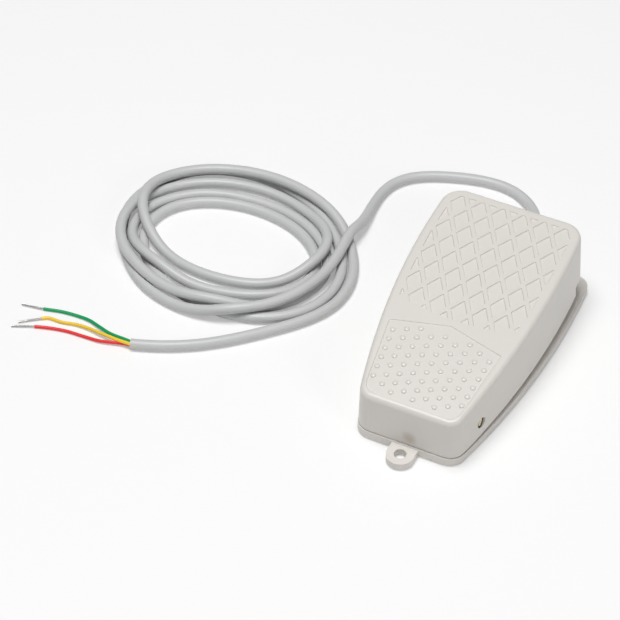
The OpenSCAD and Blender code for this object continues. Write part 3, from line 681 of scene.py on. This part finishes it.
def cover_inner_parts(p):
    """Bosses, seats, ribs and hooks under the cover, pressed down."""
    pin = Vector((0, p.pin_y, p.pin_z))
    up = Matrix.Translation(pin) @ Matrix.Rotation(-p.rest, 4, "X") @ Matrix.Translation(-pin)
    tilt = Matrix.Translation((0, 0, p.front_h)) @ Matrix.Rotation(p.slope, 4, "X")
    parts = []

    def rest_top(y):
        return top_z(p, y) + (y - p.pin_y) * math.sin(p.rest) - p.top_wall / 2

    def add(mesh, turn=None):
        if turn is not None:
            mesh.transform(turn)
        parts.append(mesh)

    boss_out = Outline(p).half_w(p.pin_y) - BOSS_OUT
    for side in (-1, 1):
        mid = side * (BOSS_IN + boss_out) / 2
        add(solid("cylinder", (BOSS_R, boss_out - BOSS_IN), (mid, p.pin_y, p.pin_z), ACROSS))
    for radius, low, high in ((STUD_R, SEAT_Z - 0.005, SEAT_Z + 0.001),
                              (SEAT_R, SEAT_Z, rest_top(SPRING_Y))):
        add(solid("cylinder", (radius, high - low), (0, SPRING_Y, (low + high) / 2)), up)
    rib = p.cover_len - 0.018 - RIB_Y
    for x in RIB_SIDES:
        add(solid("box", (RIB_T, rib, RIB_H), (x, RIB_Y + rib / 2, -p.top_wall - 0.0001)), tilt)
    add(solid("cylinder", (RIDGE_R, RIDGE_W), (0, RIDGE_Y, RIDGE_Z), ACROSS), up)
    high = rest_top(RIDGE_Y)
    add(solid("box", (RIDGE_W, 2 * RIDGE_R, high - RIDGE_Z), (0, RIDGE_Y, (high + RIDGE_Z) / 2)), up)
    hook_y = p.cover_len - HOOK_BACK
    lip = HOOK_STOP_Z - (hook_y + 0.003 - p.pin_y) * math.sin(p.rest) - LIP_T
    top = top_z(p, hook_y) - p.top_wall + 0.0006
    for x in (-HOOK_X, HOOK_X):
        add(solid("box", (HOOK_W, HOOK_T, top - lip), (x, hook_y + HOOK_T / 2, (top + lip) / 2)))
        add(solid("box", (HOOK_W, HOOK_REACH, LIP_T),
                  (x, hook_y + HOOK_REACH / 2, lip + LIP_T / 2)))
    return parts


PIN_FIT = 0.00005        # round the hinge pin in its bore
RECESS_DEPTH = 0.0025    # of the recess in the cover's side round the pin
RECESS_GAP = 0.00105     # from the pin to the recess's wall
NOTCH_W, NOTCH_Y, NOTCH_TOP = 0.020, 0.148, 0.0195     # the cord's notch in the back wall
PIN_END_T = 0.0016       # length of the pin's visible end and of the black ring that paints shade in its recess


class FOOT_OT_pedal(bpy.types.Operator):
    """Build the pedal cover with its diamond net, toe panel and grip bumps"""

    bl_idname = "foot.pedal"
    bl_label = "Pedal cover"

    def execute(self, context):
        p, g = sizes("pedal"), sizes("grip")
        skin = FINISH["shell"]
        cover = finished("cover", cover_shell(p, g), skin, None)
        for part in cover_inner_parts(p):
            carve(cover, part, "UNION")
        under, wide = 0.001, 0.2
        low, lift = p.lower_z - under, p.rear_lift + under
        carve(cover, solid("box", (wide, 0.04, lift), (0, p.side_run + 0.02, low + lift / 2)))
        carve(cover, solid("box", (NOTCH_W, NOTCH_W, NOTCH_TOP - low),
                           (0, NOTCH_Y, (NOTCH_TOP + low) / 2)))
        carve(cover, solid("cylinder", (p.pin_r + PIN_FIT, wide), (0, p.pin_y, p.pin_z), ACROSS))
        edge = Outline(p).half_w(p.pin_y) - RECESS_DEPTH
        for side in (-1, 1):
            carve(cover, solid("cylinder", (p.pin_r + RECESS_GAP, 0.01),
                               (side * (edge + 0.005), p.pin_y, p.pin_z), ACROSS, 64))
        mesh = cover.data
        mesh.transform(rest_place(p))
        bpy.data.objects.remove(cover)
        cover = even_shading(finished("cover", mesh, FINISH["cover"], math.radians(35)))
        place(cover, "pedal", "shell", "pedal_cover")
        bumps = self.bumps(p, g, skin)
        place(bumps, "pedal", "shell")
        for side in (-1, 1):
            self.pin_end(p, side, edge)
        return {"FINISHED"}

    def pin_end(self, p, side, edge):
        """A black ring in the cover's recess as painted shade, and the pin's peened end inside it."""
        hand, thick = "left" if side < 0 else "right", PIN_END_T
        at = (side * (edge + thick / 2), p.pin_y - MID, p.pin_z)
        # painted shade: a black ring stands for the shade deep in the recess round the pin
        recess_shade = finished("pin_sleeve_" + hand,
                          solid("cylinder", (p.pin_r + 0.0010, thick), at, ACROSS, 64),
                          FINISH["black"])
        carve(recess_shade, solid("cylinder", (p.pin_r + 0.0005, 0.01), at, ACROSS, 64))
        place(recess_shade, "housing", "case_black")
        bm = bmesh.new()
        bm.from_mesh(solid("cylinder", (p.pin_r, thick), at, ACROSS, 64))
        soften(bm, [e for e in bm.edges if e.calc_face_angle(0) > math.radians(50)], 0.0005, 3)
        place(finished("pin_head_" + hand, to_mesh(bm, "head"), FINISH["pin"]), "housing", "steel")

    def bumps(self, p, g, skin):
        """Domes set out on the toe panel by a node tree."""
        flat, turn = math.cos(p.slope), rest_place(p)
        verts = []
        for x, s in bump_places(g):
            y = s * flat
            verts.append(turn @ Vector((x, y, top_z(p, y) - g.panel_depth)))
        mesh = bpy.data.meshes.new("grip_bumps")
        mesh.from_pydata(verts, [], [])
        obj = linked("grip_bumps", mesh)
        tree = NodeTree("bump field", {"Radius": g.bump_r, "Height": g.bump_h,
                                       "Tilt": p.slope + p.rest + CROWN_TILT})
        ball = tree.add("GeometryNodeMeshUVSphere", None,
                        {"Segments": 28, "Rings": 20, "Radius": 1.0})
        height = tree.add("ShaderNodeSeparateXYZ", None,
                          {0: tree.add("GeometryNodeInputPosition")}, output="Z")
        low = tree.add("FunctionNodeCompare", {"data_type": "FLOAT", "operation": "LESS_THAN"},
                       {0: height, 1: BALL_CUT})
        dome = tree.add("GeometryNodeDeleteGeometry", {"domain": "POINT"},
                        {"Geometry": ball, "Selection": low})
        scale = tree.add("ShaderNodeCombineXYZ", None,
                         {0: tree.input("Radius"), 1: tree.input("Radius"), 2: tree.input("Height")})
        turned = tree.add("ShaderNodeCombineXYZ", None, {0: tree.input("Tilt")})
        spread = tree.add("GeometryNodeInstanceOnPoints", None,
                          {"Points": tree.input("Geometry"), "Instance": dome,
                           "Rotation": turned, "Scale": scale})
        tree.finish(spread, skin)
        return converted(obj, tree, skin)


# ---- Geometry node trees ----


class NodeTree:
    """A geometry node tree with named inputs and their values."""

    def __init__(self, name, values):
        self.tree = bpy.data.node_groups.new(name, "GeometryNodeTree")
        self.values = values
        face = self.tree.interface
        face.new_socket("Geometry", in_out="INPUT", socket_type="NodeSocketGeometry")
        for key, value in values.items():
            kind = "NodeSocketInt" if isinstance(value, int) else "NodeSocketFloat"
            face.new_socket(key, in_out="INPUT", socket_type=kind)
        face.new_socket("Geometry", in_out="OUTPUT", socket_type="NodeSocketGeometry")
        self.inputs = self.tree.nodes.new("NodeGroupInput")

    def input(self, name):
        return self.inputs.outputs[name]

    def add(self, kind, settings=None, inputs=None, output=0):
        node = self.tree.nodes.new(kind)
        for key, value in (settings or {}).items():
            setattr(node, key, value)
        for key, value in (inputs or {}).items():
            if isinstance(value, bpy.types.NodeSocket):
                self.tree.links.new(value, node.inputs[key])
            else:
                node.inputs[key].default_value = value
        return node.outputs[output]

    def maths(self, operation, first, second=0.0):
        return self.add("ShaderNodeMath", {"operation": operation}, {0: first, 1: second})

    def vector(self, operation, first, second):
        return self.add("ShaderNodeVectorMath", {"operation": operation}, {0: first, 1: second})

    def finish(self, geometry, material):
        real = self.add("GeometryNodeRealizeInstances", None, {0: geometry})
        dressed = self.add("GeometryNodeSetMaterial", None, {"Geometry": real, "Material": material})
        out = self.tree.nodes.new("NodeGroupOutput")
        self.tree.links.new(dressed, out.inputs[0])


def converted(obj, tree, material, smooth=math.radians(35)):
    """Runs the tree on the object and keeps the plain mesh that comes out."""
    modifier = obj.modifiers.new("nodes", "NODES")
    modifier.node_group = tree.tree
    for item in tree.tree.interface.items_tree:
        if item.in_out == "INPUT" and item.name in tree.values:
            modifier[item.identifier] = tree.values[item.name]
    mesh, name = plain(obj), obj.name
    bpy.data.objects.remove(obj)
    return finished(name, mesh, material, smooth)


# ---- Cord ----

# Points from the strain relief to the coil and along the cut end, from the cover's
# front wall, in millimetres
LEAD = ((0, 176.5, 10), (-0.4, 178.5, 9.7), (-2, 184, 8.4), (-5, 191, 5.6), (-9, 197, 4),
        (-15, 203, 3), (-23, 207, 3), (-34, 208.5, 3), (-49, 206, 3), (-64, 201, 3),
        (-78, 195, 3), (-87, 188, 3), (-91, 179, 3), (-92, 168, 3), (-91, 157, 3),
        (-90, 148, 3.5), (-89, 140, 5.5), (-88, 131, 8))
TAIL = ((-112, 35.5, 3), (-124, 25, 3), (-137, 16.5, 3), (-152, 9, 3), (-163.5, 5, 3))
# Turns of the coil in the order in which the cord runs through them: middle, half
# length and half width in millimetres, and the slant of the length in degrees
TURNS = ((-145, 109, 55, 66, -10), (-151, 95, 69, 54, -10), (-142, 97, 45, 30, -5),
         (-158, 88, 66, 49, 10), (-151, 111, 53, 36, -5), (-148, 99, 71, 54, -10))
COIL_FROM = 22.5         # where the cord enters the coil, in degrees
COIL_TURNS = 5.18        # clockwise
PER_TURN = 16            # points in a turn
# The three cores, from inside the sheath to the ends of their strands
ROUTES = {
    "green": ((-160, 5.8, 3.9), (-163.6, 5.8, 3.9), (-167.7, 6.2, 3.6), (-177.5, 7.4, 2.6),
              (-185.8, 10.1, 1.8), (-193.3, 12.4, 1.3), (-201.3, 12.8, 1), (-210.4, 11.9, 1),
              (-220.9, 9.4, 1), (-227, 8.4, 1), (-232.8, 7.6, 1)),
    "yellow": ((-160, 4, 3.9), (-163.6, 4, 3.9), (-171.8, 4.3, 3.4), (-181.3, 5.2, 2.8),
               (-190, 6.5, 1.8), (-197.8, 6.6, 1.2), (-206.5, 4.9, 1), (-214.4, 4.5, 1),
               (-218.9, 1.5, 1), (-223.5, -2, 1), (-227.6, -5.2, 1)),
    "red": ((-160, 5, 2.1), (-163.6, 5, 2.1), (-167.3, 4.4, 2), (-173.8, 2.7, 1.8),
            (-180.8, 1, 1.4), (-190.4, 0.6, 1), (-200.1, 0.1, 1), (-209, -1.6, 1),
            (-219.1, -4.8, 1), (-224.5, -7.2, 1), (-229.5, -9.4, 1)),
}
CORE_STEP, BARE_END, STRAND_LAY = 0.0008, 0.0125, 0.009


def in_frame(points):
    return [Vector((x * MM, y * MM - MID, z * MM)) for x, y, z in points]


def smooth_path(points, step):
    """A path through the points with no corners, resampled at that step."""
    made = [points[0]]
    padded = [2 * points[0] - points[1], *points, 2 * points[-1] - points[-2]]
    for a, b, c, d in zip(padded, padded[1:], padded[2:], padded[3:]):
        n = max(2, round((c - b).length / (step / 4)))
        ta = max((b - a).length, 1e-6) ** 0.5
        tb = max((c - b).length, 1e-6) ** 0.5
        tc = max((d - c).length, 1e-6) ** 0.5
        m1 = (c - b) + tb * ((b - a) / ta - (c - a) / (ta + tb))
        m2 = (c - b) + tb * ((d - c) / tc - (d - b) / (tb + tc))
        for k in range(1, n + 1):
            t = k / n
            made.append((2 * t ** 3 - 3 * t ** 2 + 1) * b + (t ** 3 - 2 * t ** 2 + t) * m1
                        + (3 * t ** 2 - 2 * t ** 3) * c + (t ** 3 - t ** 2) * m2)
    far = np.concatenate(([0.0], np.cumsum([(q - r).length for q, r in zip(made[1:], made)])))
    count = max(2, round(far[-1] / step) + 1)
    at = np.linspace(0, far[-1], count)
    table = np.array([tuple(q) for q in made])
    axes = [np.interp(at, far, table[:, k]) for k in range(3)]
    return [Vector(q) for q in zip(*axes)]


def between(rows, at):
    """A row of numbers at a place between the rows, on a smooth curve."""
    rows = np.array(rows, float)
    rows = np.vstack([2 * rows[0] - rows[1], rows, 2 * rows[-1] - rows[-2]])
    k = min(int(at), len(rows) - 4)
    a, b, c, d = rows[k:k + 4]
    t = at - k
    return b + t / 2 * (c - a + t * (2 * a - 5 * b + 4 * c - d + t * (3 * (b - c) + d - a)))


def coil_points():
    """The turns in plan, wound one after another."""
    made = []
    for n in range(int(COIL_TURNS * PER_TURN) + 1):
        x, y, half_length, half_width, slant = between(TURNS, n / PER_TURN)
        slant = math.radians(slant)
        a = math.radians(COIL_FROM - 360 * n / PER_TURN) - slant
        u, v = half_length * math.cos(a), half_width * math.sin(a)
        made.append((x + u * math.cos(slant) - v * math.sin(slant),
                     y + u * math.sin(slant) + v * math.cos(slant), 3))
    return made


def heaped(path, first, radius, step):
    """Lifts the path over what lies under it: laid from first on, and then its start."""
    count = len(path)
    order = [*range(first, count), *range(first)[::-1]]
    near_self, slope = 5 * radius / step, 0.35
    z = np.full(count, radius)
    for _ in range(3):
        lifted, laid = np.maximum(path[:, 2], radius), np.zeros(count, bool)
        for i in order:
            gap = np.hypot(*(path[:, :2] - path[i, :2]).T)
            under = laid & (gap < 2 * radius) & (np.abs(np.arange(count) - i) > near_self)
            if under.any():
                over = z[under] + np.sqrt(4 * radius ** 2 - gap[under] ** 2)
                lifted[i] = max(lifted[i], over.max())
            laid[i] = True
        away = np.abs(np.subtract.outer(np.arange(count), np.arange(count))) * step
        z = (lifted - slope * away).max(axis=1)
    return np.column_stack([path[:, :2], z])


def settled(path, radius, rounds=500):
    """Lets the cord bend, sag and press itself apart until its strands only touch."""
    home, p, count = path.copy(), path.copy(), len(path)
    spacing, pull, sag, stiff, lift = 2.1 * radius, 0.005, radius / 300, 0.12, 0.2
    one, other = np.nonzero(np.triu(np.ones((count, count), bool), 7))
    for k in range(rounds):
        loose = min(1.0, max(0.0, (rounds - k) / 100 - 0.3))
        force = np.zeros_like(p)
        force[:, :2] = pull * loose * (home[:, :2] - p[:, :2])
        force[:, 2] = -sag * loose
        bend = np.zeros_like(p)
        bend[1:-1] = p[:-2] - 2 * p[1:-1] + p[2:]
        force[2:-2] -= stiff * (bend[1:-3] - 2 * bend[2:-2] + bend[3:-1])
        p += force
        if k % 8 == 0:
            close = np.linalg.norm(p[one] - p[other], axis=1) < 4 * radius
            first, second = one[close], other[close]
        for _ in range(3):
            away = p[first] - p[second]
            gap = np.linalg.norm(away, axis=1)
            hit = gap < spacing
            a, b, away, gap = first[hit], second[hit], away[hit], gap[hit]
            push = away * ((spacing - gap) / gap / 4)[:, None]
            push[:, 2] += np.sign(away[:, 2]) * (spacing - gap) * lift
            np.add.at(p, a, push)
            np.add.at(p, b, -push)
            p[:, 2] = np.maximum(p[:, 2], radius)
        p[:2], p[-2:] = home[:2], home[-2:]
    return p


def cord_path(radius):
    """The cord's middle line from the strain relief to its cut end."""
    step = 4 * MM
    coil = coil_points()
    first = len(smooth_path(in_frame([*LEAD, *coil[:6]]), step))
    path = np.array(smooth_path(in_frame([*LEAD, *coil, *TAIL]), step))
    path = settled(heaped(path, first, radius, step), radius)
    return smooth_path([Vector(q) for q in path], step / 2)


def round_curve(name, path, radius, material, resolution=5):
    curve = bpy.data.curves.new(name, "CURVE")
    curve.dimensions = "3D"
    spline = curve.splines.new("POLY")
    spline.points.add(len(path) - 1)
    for point, q in zip(spline.points, path):
        point.co = (*q, 1)
    spline.use_smooth = True
    curve.bevel_depth, curve.bevel_resolution = radius, resolution
    curve.use_fill_caps = True
    curve.materials.append(material)
    return linked(name, curve)


class FOOT_OT_cord(bpy.types.Operator):
    """Lay the cord from the strain relief through its coil to its cut end"""

    bl_idname = "foot.cord"
    bl_label = "Cord"

    def execute(self, context):
        c = sizes("cord")
        path = cord_path(c.radius)
        cord = round_curve("cord", path, c.radius, FINISH["sheath"], 6)
        place(cord, "housing", "sheath", "cord_lead", "cord_coil", "cord_tail")
        cores = []
        for name, route in ROUTES.items():
            core, ends = self.core(name, route, c)
            cores += [core, ends]
        return {"FINISHED"}

    def core(self, name, route, c):
        """One insulated core and its bare twisted end."""
        path = smooth_path(in_frame(route), CORE_STEP)
        bare = round(BARE_END / CORE_STEP)
        wire = round_curve("core_" + name, path[:-bare], c.core_r, FINISH[name], 4)
        place(wire, "housing", "core_" + name, "wire_" + name)
        ends = round_curve("strands_" + name, path[-bare - 2:], 0, FINISH["tinned"])
        tree = NodeTree("twisted strands", {"Strands": c.strands, "Strand": c.strand_r,
                                            "Lay": 2 * math.pi / STRAND_LAY})
        whole = tree.input("Geometry")
        copies = tree.add("GeometryNodeDuplicateElements", {"domain": "SPLINE"},
                          {"Geometry": whole, "Amount": tree.input("Strands")})
        index = copies.node.outputs["Duplicate Index"]
        spline = tree.add("GeometryNodeSplineParameter", output="Length")
        turn = tree.maths("DIVIDE", tree.maths("MULTIPLY", index, 2 * math.pi), tree.input("Strands"))
        turn = tree.maths("ADD", turn, tree.maths("MULTIPLY", spline, tree.input("Lay")))
        tangent = tree.add("GeometryNodeInputTangent")
        side = tree.vector("NORMALIZE", tree.vector("CROSS_PRODUCT", tangent, (0, 0, 1)), (0, 0, 0))
        up = tree.vector("CROSS_PRODUCT", side, tangent)
        reach = tree.maths("MULTIPLY", tree.input("Strand"), 2.0)
        across, above = (
            tree.add("ShaderNodeVectorMath", {"operation": "SCALE"},
                     {0: way, 3: tree.maths("MULTIPLY", reach, tree.maths(wave, turn))})
            for way, wave in ((side, "COSINE"), (up, "SINE")))
        laid = tree.add("GeometryNodeSetPosition", None,
                        {"Geometry": copies, "Offset": tree.vector("ADD", across, above)})
        both = tree.add("GeometryNodeJoinGeometry", None, {0: laid})
        tree.tree.links.new(whole, both.node.inputs[0])
        ring = tree.add("GeometryNodeCurvePrimitiveCircle", None,
                        {"Resolution": 10, "Radius": tree.input("Strand")})
        tubes = tree.add("GeometryNodeCurveToMesh", None,
                         {"Curve": both, "Profile Curve": ring, "Fill Caps": True})
        tree.finish(tubes, FINISH["tinned"])
        ends = converted(ends, tree, FINISH["tinned"])
        place(ends, "housing", "tinned_copper", *(["wire_ends"] if name == "green" else []))
        return wire, ends


# ---- Base and the pieces inside ----


# Heights of the base's softened edges, and where its flange begins and ends
FLANGE_Z, EAR_Z, UNDERSIDE_Z, SAME_Z = 0.0055, 0.005, 0.0012, 2e-5
RIM_IN, RIM_FRONT, RIM_BACK, EAR_FRONT = 0.0035, 0.004, 0.1515, 0.0003


def rim_edges(bm, test):
    """Sharp edges whose two ends pass the test."""
    found = []
    for e in bm.edges:
        if len(e.link_faces) == 2 and e.calc_face_angle() > math.radians(50):
            if test(e.verts[0].co) and test(e.verts[1].co):
                found.append(e)
    return found


class FOOT_OT_base(bpy.types.Operator):
    """Build the moulded base with softened edges"""

    bl_idname = "foot.base"
    bl_label = "Base"

    def execute(self, context):
        bm = cad_copy("base")
        outline = Outline(sizes("pedal"))

        def outer(co):
            y = co.y + MID
            edge = outline.half_w(min(max(y, 0), outline.p.cover_len))
            flange = abs(co.x) > edge - RIM_IN or y < RIM_FRONT or y > RIM_BACK
            on_flange = abs(co.z - FLANGE_Z) < SAME_Z
            on_ear = y < EAR_FRONT and abs(co.z - EAR_Z) < SAME_Z
            return flange and (on_flange or co.z < UNDERSIDE_Z or on_ear)

        soften(bm, rim_edges(bm, outer), 0.00045, 3)
        base = finished("moulded_base", to_mesh(bm, "base"), FINISH["shell"])
        place(base, "housing", "shell", "base")
        return {"FINISHED"}


class FOOT_OT_details(bpy.types.Operator):
    """Give the pieces inside the base their finishes"""

    bl_idname = "foot.details"
    bl_label = "Pieces inside"

    def execute(self, context):
        for finish, nodes in PLAIN_NODES.items():
            for node in nodes:
                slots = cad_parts[node].data.materials
                slots.clear()
                slots.append(FINISH[finish])
        for node, body, slot, finish in SMOOTHED:
            piece = finished(node + "_piece", to_mesh(cad_copy(node), node), FINISH[finish])
            place(piece, body, slot, node)
        return {"FINISHED"}


PLAIN_NODES = {
    "rubber": ["rubber_feet"],
    "steel": ["pin_clips", "switch_screws", "switch_nuts", "clamp_screws"],
    "black": ["switch_case", "cable_clamp"],
    "lid": ["switch_lid"],
    "brass": ["contact_blade", "terminal_common", "terminal_open", "terminal_closed"],
    "sheath": ["cord_inner_end"],
    "red": ["lead_red"],
    "yellow": ["lead_yellow"],
    "green": ["lead_green"],
}
SMOOTHED = (
    ("hinge_pin", "housing", "steel", "pin"),
    ("return_spring", "housing", "steel", "steel"),
    ("switch_lever", "lever", "steel", "steel"),
    ("switch_plunger", "plunger", "plunger_red", "plunger"),
    ("cord_grommet", "housing", "sheath", "sheath"),
)


# ---- Stage ----


CAMERA_TURN, CAMERA_DOWN = math.radians(25.61), math.radians(45.05)
CAMERA_FAR = 1.271       # from the camera to the plane through the point it is set out from
CAMERA_SIDE, CAMERA_UP = -0.048928, 0.073532     # how far the line of sight passes beside it
LENS, SENSOR = 142.8387, 36.0      # in millimetres
FLOOR_HALF = 3.0
FLOOR_GLOW = 0.3         # share of plain white in what the camera sees of the floor
WORLD_STRENGTH = 0.2


def soft_light(name, at, size, power):
    """A square lamp that points at the origin."""
    data = bpy.data.lights.new(name, "AREA")
    data.shape, data.size, data.energy = "SQUARE", size, power
    obj = linked(name, data)
    obj.location = at
    obj.rotation_euler = (-Vector(at)).to_track_quat("-Z", "Y").to_euler()


class FOOT_OT_stage(bpy.types.Operator):
    """Set the floor, the lights and the camera"""

    bl_idname = "foot.stage"
    bl_label = "Stage and camera"

    def execute(self, context):
        scene = context.scene
        scene.view_settings.view_transform = "Standard"
        self.camera(scene)
        mesh = bpy.data.meshes.new("floor")
        corners = ((-1, -1), (1, -1), (1, 1), (-1, 1))
        mesh.from_pydata([(x * FLOOR_HALF, y * FLOOR_HALF, 0) for x, y in corners], [], [(0, 1, 2, 3)])
        floor = finished("floor", mesh, self.floor_finish(), None)
        self.world(scene)
        soft_light("key", (-0.2, -0.2, 2.0), size=0.8, power=31.5)
        soft_light("side", (1.4, -0.7, 0.9), size=0.6, power=3.5)
        return {"FINISHED"}

    def camera(self, scene):
        """Camera set out from the foot of the cover's front wall."""
        az, el = CAMERA_TURN, CAMERA_DOWN
        ahead = Vector((-math.sin(az) * math.cos(el), math.cos(az) * math.cos(el), -math.sin(el)))
        right = Vector((math.cos(az), math.sin(az), 0))
        up = right.cross(ahead)
        eye = right * CAMERA_SIDE + up * CAMERA_UP - ahead * CAMERA_FAR
        data = bpy.data.cameras.new("camera")
        data.sensor_width, data.lens = SENSOR, LENS
        data.clip_start, data.clip_end = 0.05, 20.0
        obj = linked("camera", data)
        obj.location = eye + Vector((0, -MID, 0))
        obj.rotation_mode = "QUATERNION"
        obj.rotation_quaternion = ahead.to_track_quat("-Z", "Y")
        scene.camera = obj

    def floor_finish(self):
        s = Shader("pale floor")
        tint = rgba(sizes("finish").floor)
        s.set(Base_Color=tint, Roughness=0.6)
        seen = s.add("ShaderNodeLightPath", output="Is Camera Ray")
        white = s.add("ShaderNodeEmission", None, {"Color": (1, 1, 1, 1), "Strength": 1.0})
        lit = Value(s, s.base.outputs[0])
        mixed = s.add("ShaderNodeMixShader", None, {0: seen * FLOOR_GLOW, 1: lit, 2: white})
        s.join(mixed, s.output.inputs["Surface"])
        return s.material

    def world(self, scene):
        world = bpy.data.worlds.new("studio")
        scene.world = world
        world.use_nodes = True
        back = world.node_tree.nodes["Background"]
        back.inputs["Color"].default_value = (1, 1, 1, 1)
        back.inputs["Strength"].default_value = WORLD_STRENGTH


# ---- Panel and start ----


class FOOT_PT_panel(bpy.types.Panel):
    """Sizes, finishes and steps of the foot switch"""

    bl_label = "Foot switch"
    bl_idname = "FOOT_PT_panel"
    bl_space_type = "VIEW_3D"
    bl_region_type = "UI"
    bl_category = "Foot switch"

    def draw(self, context):
        for kind, group in GROUPS.items():
            box = self.layout.box()
            box.label(text=kind.capitalize())
            for name in group.__annotations__:
                box.prop(sizes(kind), name)
        for operator in OPERATORS:
            self.layout.operator(operator.bl_idname)


GROUPS = {"pedal": PedalSizes, "grip": GripSizes, "cord": CordSizes, "finish": Finishes}
OPERATORS = (FOOT_OT_stage, FOOT_OT_cord, FOOT_OT_pedal, FOOT_OT_base, FOOT_OT_details)
FINISH = {}


def register():
    for cls in (*GROUPS.values(), *OPERATORS, FOOT_PT_panel):
        bpy.utils.register_class(cls)
    for kind, group in GROUPS.items():
        setattr(bpy.types.Scene, "foot_" + kind, PointerProperty(type=group))


def unregister():
    for kind in GROUPS:
        delattr(bpy.types.Scene, "foot_" + kind)
    for cls in reversed((*GROUPS.values(), *OPERATORS, FOOT_PT_panel)):
        bpy.utils.unregister_class(cls)


def make_finishes():
    f = sizes("finish")
    FINISH.update({
        "shell": plastic("moulded shell", f.shell),
        # the cover has a brownish round spot on its front wall above the ear
        "cover": plastic("moulded cover", f.shell,
                         brown_spot=((0.002, 0.0006 - MID, 0.0115), 0.0065, (0.42, 0.35, 0.27))),
        "pin": metal("plated pin", (0.78, 0.64, 0.38), 0.3),
        "sheath": sheath("cord sheath", f.sheath),
        "green": plastic("green core", f.green, 0.34, 1500.0, 0.00001, 0.06),
        "yellow": plastic("yellow core", f.yellow, 0.34, 1500.0, 0.00001, 0.05),
        "red": plastic("red core", f.red, 0.34, 1500.0, 0.00001, 0.06),
        "tinned": metal("tinned strands", (0.72, 0.71, 0.70), 0.3),
        "steel": metal("bright steel", (0.62, 0.62, 0.63), 0.26),
        "brass": metal("contact brass", (0.78, 0.58, 0.25), 0.3),
        "black": plastic("switch case", (0.035, 0.035, 0.04), 0.45, 1800.0, 0.00002, 0.1),
        "lid": plastic("switch lid", (0.09, 0.09, 0.10), 0.42, 1800.0, 0.00002, 0.1),
        "plunger": plastic("switch plunger", (0.55, 0.05, 0.04), 0.3, 1800.0, 0.00001, 0.06),
        "rubber": plastic("foot rubber", (0.03, 0.03, 0.03), 0.75, 1200.0, 0.00004, 0.15),
    })


def main():
    register()
    make_finishes()
    for operator in OPERATORS:
        group, name = operator.bl_idname.split(".")
        getattr(getattr(bpy.ops, group), name)()


if __name__ == "__main__":
    main()
